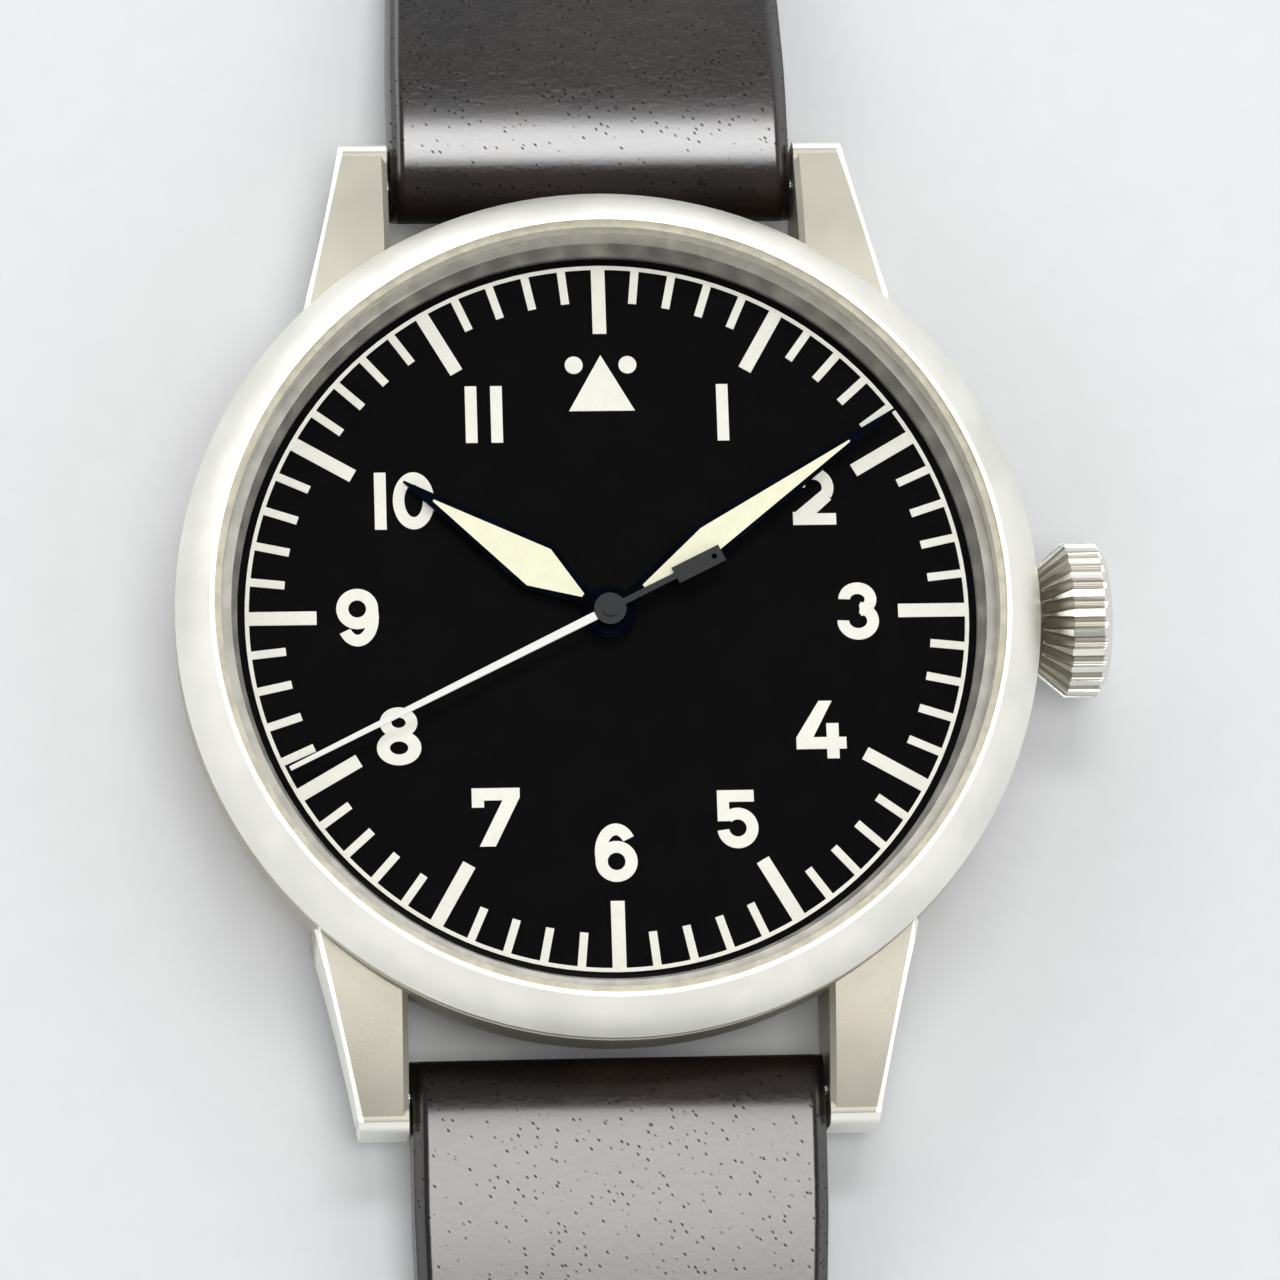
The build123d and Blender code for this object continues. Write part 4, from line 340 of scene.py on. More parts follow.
@dataclass(frozen=True)
class Finish:
    """A surface finish of the watch, made into one material."""

    name: str

    def paint(self, graph: Graph) -> None:
        """Fills the material's node tree; each finish has its own."""
        raise NotImplementedError

    def material(self) -> bpy.types.Material:
        """Makes the finish's material on first use.

        Returns:
            The material.
        """
        found = bpy.data.materials.get(self.name)
        if found is not None:
            return found
        made = bpy.data.materials.new(self.name)
        made.use_nodes = True
        self.paint(Graph(made.node_tree))
        return made


@dataclass(frozen=True)
class BlastedSteel(Finish):
    """Steel with the fine, even grain of glass-bead blasting."""

    # This default, which the case takes, is set darker than the bezel's as painted shade on the
    # lugs.
    colour: Colour = (0.46, 0.437, 0.365)
    roughness: float = 0.44
    grain: float = 9.0
    clouds: float = 0.22
    depth: float = 6e-6

    def tone(self, graph: Graph, cloud: Value) -> bpy.types.NodeSocket:
        """Returns the steel's colour, slightly uneven."""
        return graph.uneven(cloud, dimmed(self.colour, 0.9), self.colour)

    def paint(self, graph: Graph) -> None:
        """Fine grain in the surface and faint, slow changes of tone.

        Args:
            graph: The material's node tree.
        """
        place = graph.millimetres()
        grain = graph.noise(place, self.grain, 4.0)
        cloud = graph.noise(place, self.clouds, 2.0)
        graph.finish(
            {
                "Base Color": self.tone(graph, cloud),
                "Metallic": 1.0,
                "Roughness": self.roughness - 0.05 + 0.1 * grain + 0.06 * cloud,
                "Normal": graph.bump(grain, self.depth),
            }
        )


@dataclass(frozen=True)
class CaseSteel(BlastedSteel):
    """The case's blasted steel, with a painted highlight on the lugs' outer bevels and noses.

    root and tip are the ends of a lug's outer side, across and along.
    """

    root: tuple[float, float] = (0.0146, 0.0152)
    tip: tuple[float, float] = (0.0125, 0.0248)
    bevel: float = 0.00028
    nose: float = 0.00045
    soft: float = 2e-5
    # Colour of the painted highlight on the lugs' outer bevels and noses.
    painted_highlight: Colour = (0.92, 0.91, 0.86)

    def tone(self, graph: Graph, cloud: Value) -> bpy.types.NodeSocket:
        """Paints a highlight into the steel's colour on the lugs' outer bevels and noses.

        Args:
            graph: The material's node tree.
            cloud: The slow noise that it follows.

        Returns:
            The colour's socket.
        """
        across, along, _ = graph.axes()
        reach = abs(along)
        edge = abs(across) - reach.line(self.root[1], self.tip[1], self.root[0], self.tip[0])
        inner = edge.ramp(-self.bevel - self.soft, -self.bevel)
        outer = edge.ramp(-2.0 * self.soft, -0.5 * self.soft, 1.0, 0.0)
        along_lug = reach.ramp(self.root[1], self.root[1] + 5.0 * self.soft)
        nose_start = self.tip[1] - self.nose
        # The mask for the painted highlight: the outer bevel along each lug and the nose at its
        # tip.
        highlight_mask = inner * outer * along_lug + reach.ramp(nose_start - 2.5 * self.soft, nose_start)
        return graph.mix(highlight_mask, super().tone(graph, cloud), self.painted_highlight)


@dataclass(frozen=True)
class FlutedSteel(Finish):
    """The crown's steel: the ridges bright, the flutes darkened as painted shade.

    The ridges follow a cone from cone_start to cone_end, then a cylinder as far as grip_end.
    """

    axis_z: float = 0.0047
    cone_start: float = 0.0213
    cone_end: float = 0.0226
    grip_end: float = 0.02415
    root_radius: float = 0.00265
    radius: float = 0.0038
    shallow: float = 4e-7
    deep: float = 1.3e-6
    bright: Colour = (0.78, 0.77, 0.72)
    # Colour of the painted shade in the flutes.
    dark: Colour = (0.34, 0.32, 0.27)

    def paint(self, graph: Graph) -> None:
        """Darkens what lies below the ridges' cone and cylinder, as painted shade in the flutes.

        Args:
            graph: The material's node tree.
        """
        out, along, up = graph.axes()
        up = up - self.axis_z
        ridge = out.line(self.cone_start, self.cone_end, self.root_radius, self.radius)
        below = ridge * ridge - (along * along + up * up)
        grip = out.ramp(self.grip_end, self.grip_end + 1e-4, 1.0, 0.0)
        flute_shade = below.ramp(self.shallow, self.deep) * grip
        grain = graph.noise(graph.millimetres(), 9.0, 4.0)
        graph.finish(
            {
                "Base Color": graph.mix(flute_shade, self.bright, self.dark),
                "Metallic": 1.0,
                "Roughness": 0.2 + 0.08 * grain + 0.1 * flute_shade,
                "Normal": graph.bump(grain, 3e-6),
            }
        )


@dataclass(frozen=True)
class TurnedSteel(Finish):
    """Steel or brass with fine lines left by turning or brushing."""

    colour: Colour = (0.6, 0.6, 0.6)
    roughness: float = 0.25
    lines: float = 14.0
    turn: float = 0.0

    def paint(self, graph: Graph) -> None:
        """Long thin lines in the roughness and the surface.

        Args:
            graph: The material's node tree.
        """
        lines = graph.noise(graph.millimetres((1.0, 0.04, 1.0), self.turn), self.lines, 3.0)
        cloud = graph.noise(graph.millimetres(), 0.8, 2.0)
        graph.finish(
            {
                "Base Color": graph.uneven(cloud, dimmed(self.colour, 0.82), self.colour),
                "Metallic": 1.0,
                "Roughness": self.roughness - 0.06 + 0.12 * lines,
                "Normal": graph.bump(lines, 2e-6),
            }
        )


@dataclass(frozen=True)
class StripedNickel(Finish):
    """Nickel-plated bridges with broad parallel stripes."""

    colour: Colour = (0.62, 0.6, 0.56)
    stripe: float = 0.0011
    turn: float = 0.9

    def paint(self, graph: Graph) -> None:
        """Stripes of changing roughness and a shallow wave in the surface.

        Args:
            graph: The material's node tree.
        """
        across, along, _ = graph.axes()
        place = across * math.cos(self.turn) + along * math.sin(self.turn)
        wave = abs((place * (math.pi / self.stripe)).sine())
        brushed = graph.noise(graph.millimetres((0.05, 1.0, 1.0), -self.turn), 16.0, 2.0)
        darker = dimmed(self.colour, 0.72)
        graph.finish(
            {
                "Base Color": graph.mix(wave.ramp(0.0, 1.0), darker, self.colour),
                "Metallic": 1.0,
                "Roughness": 0.3 + 0.1 * brushed - 0.1 * wave,
                "Normal": graph.bump(wave + 0.2 * brushed, 1.2e-5),
            }
        )


@dataclass(frozen=True)
class Lacquer(Finish):
    """Paint or lacquer over metal, from matte to glossy."""

    colour: Colour = (0.004, 0.004, 0.0045)
    lighter: Colour = (0.008, 0.008, 0.009)
    roughness: float = 0.5
    metallic: float = 0.0
    coat: float = 0.0
    specular: float = 0.5

    def paint(self, graph: Graph) -> None:
        """A fine grain and a faint unevenness of tone.

        Args:
            graph: The material's node tree.
        """
        place = graph.millimetres()
        grain = graph.noise(place, 12.0, 3.0)
        cloud = graph.noise(place, 0.5, 2.0)
        graph.finish(
            {
                "Base Color": graph.uneven(cloud, self.colour, self.lighter),
                "Metallic": self.metallic,
                "Roughness": self.roughness - 0.04 + 0.08 * grain,
                "Specular IOR Level": self.specular,
                "Coat Weight": self.coat,
                "Coat Roughness": 0.06,
                "Normal": graph.bump(grain, 3e-6),
            }
        )


@dataclass(frozen=True)
class Lume(Finish):
    """Thick luminous paint with a powdery surface."""

    colour: Colour = (0.8, 0.8, 0.74)
    shade: Colour = (0.7, 0.7, 0.63)

    def paint(self, graph: Graph) -> None:
        """Powder grain, with slightly uneven thickness.

        Args:
            graph: The material's node tree.
        """
        place = graph.millimetres()
        powder = graph.noise(place, 8.0, 5.0)
        cloud = graph.noise(place, 1.3, 2.0)
        thick = (0.5 * powder + 0.5 * cloud).ramp(0.38, 0.62)
        graph.finish(
            {
                "Base Color": graph.mix(thick, self.shade, self.colour),
                "Roughness": 0.7 + 0.2 * powder,
                "Specular IOR Level": 0.25,
                "Normal": graph.bump(powder + 0.6 * cloud, 1.4e-5),
            }
        )


@dataclass(frozen=True)
class SecondsPaint(Finish):
    """White paint on the seconds hand's pointing end, dark oxide on its hub and tail.

    The hand points at angle, in degrees from twelve, and the paint starts at edge from its axis.
    """

    angle: float = 243.8
    edge: float = 0.0008
    soft: float = 4e-5
    white: Colour = (0.82, 0.82, 0.79)
    dark: Colour = (0.024, 0.0245, 0.026)

    def paint(self, graph: Graph) -> None:
        """Splits the two along the hand's own direction.

        Args:
            graph: The material's node tree.
        """
        across, along, _ = graph.axes()
        turned = math.radians(self.angle)
        reach = across * math.sin(turned) + along * math.cos(turned)
        front = reach.ramp(self.edge - self.soft, self.edge + self.soft)
        grain = graph.noise(graph.millimetres(), 14.0, 3.0)
        graph.finish(
            {
                "Base Color": graph.mix(front, self.dark, self.white),
                "Metallic": (1.0 - front) * 0.6,
                "Roughness": 0.42 + 0.1 * grain,
                "Normal": graph.bump(grain, 3e-6),
            }
        )


@dataclass(frozen=True)
class Leather(Finish):
    """Waxed calf leather with open hair pores, fine grain and creases."""

    dark: Colour = (0.004, 0.0026, 0.0022)
    light: Colour = (0.017, 0.0098, 0.0075)
    # The colour of the painted shade in the pores, also used for the darker band along the cut
    # edge.
    hollow: Colour = (0.003, 0.0016, 0.0012)
    bar_y: float = 0.0229
    depth: float = 4.5e-5

    def pores(self, graph: Graph) -> Value:
        """Returns 1 in the short slanted hair pores and 0 between them."""
        slanted = graph.millimetres((1.0, 0.5, 1.0), 0.75)
        return graph.cells(slanted, 3.3, 0.9).ramp(0.08, 0.24, 1.0, 0.0)

    def edge(self, graph: Graph) -> Value:
        """Returns 1 at the cut edge and 0 away from it; a piece without the attribute has 1."""
        inset = graph.node("ShaderNodeAttribute", {"attribute_name": EDGE_DISTANCE}, {})
        return Value(graph, inset.outputs["Fac"]).ramp(0.0001, 0.0008, 1.0, 0.0)

    def paint(self, graph: Graph) -> None:
        """Pores darkened as painted shade, pebble grain and creases, darker at the edge and duller
        round the spring bar.

        Args:
            graph: The material's node tree.
        """
        place = graph.millimetres()
        pebble = graph.cells(graph.millimetres((1.0, 1.15, 1.0)), 3.4)
        pores = self.pores(graph)
        fine = graph.noise(place, 7.0, 4.0)
        cloud = graph.noise(place, 0.16, 3.0)
        folds = graph.noise(graph.millimetres((0.45, 1.0, 1.0)), 1.4, 4.0)
        crease = abs(folds - 0.5).ramp(0.0, 0.03, 1.0, 0.0)
        _, along, _ = graph.axes()
        open_part = abs(along).ramp(self.bar_y - 0.0003, self.bar_y + 0.0007)
        tone = graph.mix((0.6 * cloud + 0.4 * fine).ramp(0.36, 0.64), self.dark, self.light)
        # Painted shade: the pores are darkened towards the hollow colour, as is the band along the
        # cut edge.
        darkened = 0.85 * pores + 0.6 * self.edge(graph)
        height = 0.3 * pebble + 0.16 * fine - 0.8 * pores - 0.12 * crease + 0.8 * folds
        graph.finish(
            {
                "Base Color": graph.mix(darkened, tone, self.hollow),
                "Roughness": 0.46 + 0.12 * fine + 0.3 * pores - 0.05 * cloud - 0.28 * open_part,
                "Specular IOR Level": 0.15,
                "Coat Weight": (1.0 - 0.9 * pores) * open_part,
                "Coat Roughness": 0.14,
                "Coat IOR": 1.75,
                "Normal": graph.bump(height, self.depth),
            }
        )


@dataclass(frozen=True)
class LeatherEdge(Finish):
    """The strap's cut edge, inked and burnished."""

    colour: Colour = (0.016, 0.009, 0.007)
    lighter: Colour = (0.03, 0.018, 0.012)

    def paint(self, graph: Graph) -> None:
        """Layers along the edge under a waxed gloss.

        Args:
            graph: The material's node tree.
        """
        layers = graph.noise(graph.millimetres((0.15, 0.15, 1.0)), 3.0, 3.0)
        fine = graph.noise(graph.millimetres(), 5.0, 3.0)
        graph.finish(
            {
                "Base Color": graph.uneven(layers, self.colour, self.lighter),
                "Roughness": 0.3 + 0.2 * fine,
                "Coat Weight": 0.3,
                "Normal": graph.bump(0.6 * layers + 0.4 * fine, 5e-5),
            }
        )


@dataclass(frozen=True)
class ClearGlass(Finish):
    """Coated clear glass that mirrors a little and lets the rest through, with a painted reflection
    on its bevelled rim.

    Bare glass mirrors the share head_on from above and nearly all at a slant, and mirror is what
    the coating leaves of that. The bevel starts rim metres from the axis.
    """

    rim: float = 0.0188
    bevel: float = 0.0005
    head_on: float = 0.04
    mirror: float = 0.4
    # How much more the rim mirrors, as part of its painted reflection.
    bright: float = 0.3
    clear: Colour = (0.94, 0.97, 1.0)
    # The tint of the rim's painted reflection.
    rim_reflection: Colour = (0.7, 0.7, 0.66)

    def paint(self, graph: Graph) -> None:
        """Clear in the middle, with faint wiping marks; the rim is paler and mirrors more, as a
        painted reflection of the bevel.

        Args:
            graph: The material's node tree.
        """
        across, along, _ = graph.axes()
        wiped = graph.noise(graph.millimetres((1.0, 0.2, 1.0), 0.6), 0.5, 2.0)
        rim = (across * across + along * along).ramp(self.rim**2, (self.rim + self.bevel) ** 2)
        weight = graph.node("ShaderNodeLayerWeight", {}, {"Blend": 0.5})
        slant = Value(graph, weight.outputs["Facing"])
        squared = slant * slant
        mirrored = self.head_on + (1.0 - self.head_on) * (squared * squared * slant)
        graph.finish(
            {
                "Base Color": graph.mix(rim, self.clear, self.rim_reflection),
                "Metallic": 1.0,
                "Roughness": wiped.ramp(0.4, 0.9, 0.02, 0.05),
                "Alpha": self.mirror * mirrored + self.bright * rim,
            }
        )


@dataclass(frozen=True)
class SoftSeal(Finish):
    """Moulded gasket material, from translucent nylon to black rubber."""

    colour: Colour = (0.62, 0.59, 0.46)
    roughness: float = 0.3

    def paint(self, graph: Graph) -> None:
        """A slightly cloudy moulded surface.

        Args:
            graph: The material's node tree.
        """
        cloud = graph.noise(graph.millimetres(), 1.2, 3.0)
        graph.finish(
            {
                "Base Color": graph.uneven(cloud, dimmed(self.colour, 0.8), self.colour),
                "Roughness": self.roughness + 0.1 * cloud,
                "Normal": graph.bump(cloud, 4e-6),
            }
        )


class Metal(Enum):
    """The watch's metal finishes."""

    # The case and the bezel are one blasted steel; the case's darker colour is painted shade on the
    # lugs, the bezel's brighter one painted light.
    CASE = CaseSteel("blasted_case")
    BEZEL = BlastedSteel("blasted_bezel", colour=(0.92, 0.91, 0.845), roughness=0.38)
    CROWN = FlutedSteel("fluted_crown")
    REHAUT = TurnedSteel("turned_rehaut", colour=(0.52, 0.505, 0.47), roughness=0.56, lines=6.0)
    HOLDER = TurnedSteel("turned_holder", colour=(0.5, 0.5, 0.5), roughness=0.34)
    WORKS = TurnedSteel("polished_works", colour=(0.62, 0.63, 0.65), roughness=0.2, turn=0.5)
    GILT = TurnedSteel("gilt_wheels", colour=(0.78, 0.58, 0.27), roughness=0.24, turn=1.1)
    BLUED = TurnedSteel("blued_screws", colour=(0.03, 0.07, 0.36), roughness=0.2)
    BRIDGES = StripedNickel("striped_bridges")
    PLATE = TurnedSteel(
        "grained_plate", colour=(0.36, 0.35, 0.325), roughness=0.42, lines=8.0, turn=0.3
    )
    BUCKLE = BlastedSteel("blasted_buckle", colour=(0.7, 0.69, 0.64), roughness=0.34)


class Coating(Enum):
    """Paint, print, seals, glass and leather, and the floor's paint."""

    DIAL = Lacquer(
        "dial_lacquer",
        colour=(0.0008, 0.0008, 0.001),
        lighter=(0.0016, 0.0016, 0.0018),
        roughness=0.5,
        specular=0.04,
    )
    HANDS = Lacquer(
        "hand_bluing",
        colour=(0.002, 0.0035, 0.009),
        lighter=(0.005, 0.009, 0.03),
        roughness=0.18,
        metallic=0.9,
    )
    PRINT = Lume("dial_print", colour=(0.92, 0.915, 0.83), shade=(0.87, 0.86, 0.77))
    HAND_LUME = Lume("hand_lume", colour=(0.91, 0.905, 0.69), shade=(0.87, 0.86, 0.64))
    SECONDS = SecondsPaint("seconds_paint")
    RUBY = Lacquer(
        "ruby", colour=(0.4, 0.01, 0.05), lighter=(0.6, 0.03, 0.1), roughness=0.08, coat=1.0
    )
    GLASS = ClearGlass("clear_glass")
    BACK_GLASS = ClearGlass("back_glass", rim=0.0143, bevel=0.0003)
    NYLON = SoftSeal("nylon_seal")
    RUBBER = SoftSeal("rubber_seal", colour=(0.02, 0.02, 0.022), roughness=0.5)
    LEATHER = Leather("waxed_leather")
    EDGE = LeatherEdge("inked_edge")
    FLOOR = Lacquer(
        "pale_floor",
        colour=(0.72, 0.73, 0.74),
        lighter=(0.73, 0.74, 0.75),
        roughness=0.8,
        specular=0.1,
    )


class MovementAndCase:
    """The pieces that come from the model as they are and only take a finish."""

    finishes: dict[Finish, tuple[str, ...]] = {
        Metal.CASE.value: ("case_middle", "case_back"),
        Metal.BEZEL.value: ("bezel",),
        Metal.CROWN.value: ("crown",),
        Metal.REHAUT.value: ("rehaut_ring",),
        Metal.HOLDER.value: ("movement_ring", "crown_tube"),
        Metal.BUCKLE.value: ("buckle_frame", "buckle_tongue", "buckle_bar"),
        Metal.BRIDGES.value: ("barrel_bridge", "train_bridge", "balance_cock", "pallet_bridge"),
        Metal.PLATE.value: ("main_plate",),
        Metal.GILT.value: (
            "barrel_drum",
            "centre_wheel",
            "third_wheel",
            "fourth_wheel",
            "balance_wheel",
            "minute_wheel",
            "setting_wheel",
            "hour_wheel",
        ),
        Metal.WORKS.value: (
            "winding_stem",
            "sliding_pinion",
            "winding_pinion",
            "setting_yoke",
            "setting_lever",
            "crown_wheel",
            "ratchet_wheel",
            "click",
            "barrel_arbor",
            "mainspring",
            "cannon_pinion",
            "escape_wheel",
            "pallet_fork",
            "spring_bar_tubes",
            "spring_bar_springs",
            "spring_bar_pins_left",
            "spring_bar_pins_right",
        ),
        Metal.BLUED.value: ("movement_screws", "hairspring"),
        Coating.RUBY.value: ("jewels",),
        Coating.GLASS.value: ("crystal",),
        Coating.BACK_GLASS.value: ("back_crystal",),
        Coating.NYLON.value: ("crystal_gasket",),
        Coating.RUBBER.value: ("case_back_gasket", "crown_gasket"),
        Coating.DIAL.value: ("dial_plate",),
        Coating.PRINT.value: ("dial_markings", "dial_numerals"),
        Coating.HANDS.value: ("hour_hand", "minute_hand"),
        Coating.HAND_LUME.value: ("hour_hand_lume", "minute_hand_lume"),
        Coating.SECONDS.value: ("seconds_hand",),
    }

    def dress(self, nodes: dict[str, bpy.types.Object]) -> None:
        """Gives each of the model's rigid pieces its finish.

        Args:
            nodes: The model's pieces by name.
        """
        for finish, names in self.finishes.items():
            for name in names:
                piece = nodes[name]
                if not piece.data.materials:
                    piece.data.materials.append(finish.material())
                for slot in piece.material_slots:
                    slot.material = finish.material()
                log.info("%s takes %s", name, finish.name)


def piece_from(name: str, mesh: bmesh.types.BMesh, finishes: Sequence[Finish]) -> bpy.types.Object:
    """Makes an object of a finished bmesh, with its place in its mesh.

    Args:
        name: The piece's name.
        mesh: Its shape, which is freed.
        finishes: Its finishes in the order of the faces' material numbers.

    Returns:
        The linked object.
    """
    bmesh.ops.recalc_face_normals(mesh, faces=mesh.faces)
    data = bpy.data.meshes.new(name)
    mesh.to_mesh(data)
    mesh.free()
    for finish in finishes:
        data.materials.append(finish.material())
    made = bpy.data.objects.new(name, data)
    bpy.context.scene.collection.objects.link(made)
    return made


def applied(piece: bpy.types.Object) -> None:
    """Turns a piece's modifiers into plain mesh.

    Args:
        piece: The object whose modifiers are used up.
    """
    bpy.context.view_layer.update()
    finished = piece.evaluated_get(bpy.context.evaluated_depsgraph_get())
    shaped = bpy.data.meshes.new_from_object(finished)
    piece.modifiers.clear()
    piece.data = shaped


def smoothed(piece: bpy.types.Object, degrees: float) -> None:
    """Shades a piece smooth, with sharp edges beyond an angle.

    Args:
        piece: The object whose mesh is shaded.
        degrees: The angle between faces past which their edge stays sharp.
    """
    piece.data.set_sharp_from_angle(angle=math.radians(degrees))
    for face in piece.data.polygons:
        face.use_smooth = True


@dataclass
class StrapHalf:
    """One leather strap half, seen from its spring bar outwards along Y.

    The cuts are shares of the half width and the half height, where the block gets its edges.
    """

    name: str
    node: str
    body: str
    side: int
    length: float
    bar_y: float = 0.0229
    bar_z: float = 0.0034
    loop_radius: float = 0.00175
    half_width: float = 0.00995
    narrow_half_width: float = 0.009
    full_length: float = 0.006
    taper_length: float = 0.028
    slope_run: float = 0.018
    thickness: float = 0.0027
    edge_share: float = 0.76
    edge_start: float = 0.94
    edge_curve: float = 1.5
    edge_bulge: float = 0.012
    side_cuts: tuple[float, ...] = (0.4, 0.75, 0.92, 0.945, 0.965, 0.98, 0.992)
    level_cuts: tuple[float, ...] = (-0.5, 0.5)
    stations: int = 110
    punch_depth: float = 0.02
    loop_stations: int = 14
    loop_step: float = 6.0
    inked_share: float = 0.96
    sharp_angle: float = 40.0

    @property
    def near(self) -> float:
        """The strap's inner end, at the loop round the spring bar."""
        return self.bar_y - self.loop_radius

    @property
    def far(self) -> float:
        """The strap's outer end."""
        return self.bar_y + self.length

    def width_at(self, along: float) -> float:
        """Tapers the strap along its length.

        Args:
            along: A distance from the watch's axis.

        Returns:
            Half the width there.
        """
        start = self.bar_y + self.full_length
        share = min(max((along - start) / self.taper_length, 0.0), 1.0)
        return between(self.half_width, self.narrow_half_width, share)

    def loop_half(self, along: float, centre: float, radius: float) -> float:
        """Returns half the height of a round loop at a place, or 0 beyond it."""
        return math.sqrt(max(radius**2 - (along - centre) ** 2, 0.0))

    def faces_at(self, along: float) -> tuple[float, float]:
        """Returns the heights of the underside and the top; each half has its own."""
        raise NotImplementedError

    def places(self) -> list[float]:
        """Cuts the strap closer together at its rounded ends.

        Returns:
            Distances from the watch's axis, in order.
        """
        steps = [index / self.stations for index in range(1, self.stations)]
        spread = [between(self.bar_y, self.far - self.loop_radius, step) for step in steps]
        turns = [math.radians(self.loop_step * index) for index in range(1, self.loop_stations + 1)]
        near = [self.bar_y - self.loop_radius * math.cos(turn) for turn in turns]
        return sorted(near + spread)

    def shape(self) -> bmesh.types.BMesh:
        """Cuts a block into stations and moves them onto the strap's profile.

        Returns:
            The closed strap without its holes.
        """
        mesh = bmesh.new()
        bmesh.ops.create_cube(mesh, size=1.0)
        low, high = self.near + HAIR, self.far - HAIR
        bmesh.ops.scale(mesh, vec=(2.0, high - low, 2.0), verts=mesh.verts)
        bmesh.ops.translate(mesh, vec=(0.0, (low + high) / 2, 0.0), verts=mesh.verts)
        for along in self.places():
            if low < along < high:
                self.cut(mesh, (0.0, along, 0.0), (0.0, 1.0, 0.0))
        for share in self.side_cuts:
            for side in (-1, 1):
                self.cut(mesh, (share * side, 0.0, 0.0), (1.0, 0.0, 0.0))
        for share in self.level_cuts:
            self.cut(mesh, (0.0, 0.0, share), (0.0, 0.0, 1.0))
        for vert in mesh.verts:
            across, along, up = vert.co
            below, above = self.faces_at(along)
            beside = smooth_step((abs(across) - self.edge_start) / (1.0 - self.edge_start))
            thinner = 1.0 - (1.0 - self.edge_share) * beside**self.edge_curve
            wider = 1.0 + self.edge_bulge * (1.0 - up * up) if abs(across) > 0.995 else 1.0
            vert.co = (
                across * self.width_at(along) * wider,
                along * self.side,
                (below + above) / 2 + (above - below) / 2 * up * thinner,
            )
        return mesh

    def cut(self, mesh: bmesh.types.BMesh, point: Sequence[float], normal: Sequence[float]) -> None:
        """Divides the whole mesh by a plane and keeps both sides."""
        whole = mesh.verts[:] + mesh.edges[:] + mesh.faces[:]
        bmesh.ops.bisect_plane(mesh, geom=whole, plane_co=point, plane_no=normal)

    def cutters(self) -> bmesh.types.BMesh:
        """Returns what is punched out of the strap; each half has its own."""
        raise NotImplementedError

    def build(self) -> bpy.types.Object:
        """Makes the strap half, punches it and dresses its faces.

        Returns:
            The finished piece.
        """
        strap = piece_from(self.name, self.shape(), (Coating.LEATHER.value, Coating.EDGE.value))
        punch = piece_from(f"{self.name}_punch", self.cutters(), (Coating.EDGE.value,))
        cut = strap.modifiers.new("punch", "BOOLEAN")
        cut.object = punch
        cut.operation = "DIFFERENCE"
        cut.solver = "EXACT"
        applied(strap)
        bpy.data.objects.remove(punch)
        self.dress(strap)
        return strap

    def dress(self, strap: bpy.types.Object) -> None:
        """Inks the strap's cut edges and marks how far each point lies from them.

        Args:
            strap: The punched strap half.
        """
        inset = strap.data.attributes.new(EDGE_DISTANCE, "FLOAT", "POINT")
        for vert, item in zip(strap.data.vertices, inset.data):
            item.value = self.width_at(abs(vert.co.y)) - abs(vert.co.x)
        for face in strap.data.polygons:
            middle = face.center
            beside = abs(middle.x) > self.inked_share * self.width_at(abs(middle.y))
            face.material_index = 1 if beside and abs(face.normal.z) < 0.5 else 0
        smoothed(strap, self.sharp_angle)


@dataclass
class BuckleHalf(StrapHalf):
    """The strap half with the buckle, at twelve o'clock."""

    rise_run: float = 0.016
    lift: float = 0.0015
    buckle_loop: float = 0.00185
    slot_length: float = 0.007
    slot_width: float = 0.0034

    @property
    def buckle_y(self) -> float:
        """The buckle bar's distance from the watch's axis."""
        return self.bar_y + self.length

    @property
    def far(self) -> float:
        """The strap's outer end, round the buckle bar."""
        return self.buckle_y + self.buckle_loop

    def faces_at(self, along: float) -> tuple[float, float]:
        """Gives the heights of the underside and the top.

        Args:
            along: A distance from the watch's axis.

        Returns:
            The two heights.
        """
        slope_end = self.bar_y + self.slope_run
        if along <= self.bar_y:
            half = self.loop_half(along, self.bar_y, self.loop_radius)
            return self.bar_z - half, self.bar_z + half
        if along <= slope_end:
            share = smooth_step((along - self.bar_y) / self.slope_run)
            low = between(self.bar_z - self.loop_radius, 0.0, share)
            return low, between(self.bar_z + self.loop_radius, self.thickness, share)
        share = smooth_step((along - slope_end) / self.rise_run)
        low = between(0.0, self.lift, share)
        high = low + self.thickness
        half = self.loop_half(along, self.buckle_y, self.buckle_loop)
        middle = self.lift + self.thickness / 2
        if along > self.buckle_y:
            return middle - half, middle + half
        return min(low, middle - half), max(high, middle + half)

    def cutters(self) -> bmesh.types.BMesh:
        """Shapes the tongue's slot as a cutter.

        Returns:
            The slot, rounded at its ends.
        """
        mesh = bmesh.new()
        bmesh.ops.create_cube(mesh, size=1.0)
        upright = [
            edge for edge in mesh.edges if abs(edge.verts[0].co.z - edge.verts[1].co.z) > 0.5
        ]
        size = (self.slot_width, 2 * self.slot_length, self.punch_depth)
        bmesh.ops.scale(mesh, vec=size, verts=mesh.verts)
        bmesh.ops.bevel(
            mesh,
            geom=upright,
            offset=0.49 * self.slot_width,
            segments=6,
            profile=0.5,
            affect="EDGES",
            material=-1,
        )
        bmesh.ops.translate(mesh, vec=(0.0, self.side * self.buckle_y, 0.0), verts=mesh.verts)
        return mesh


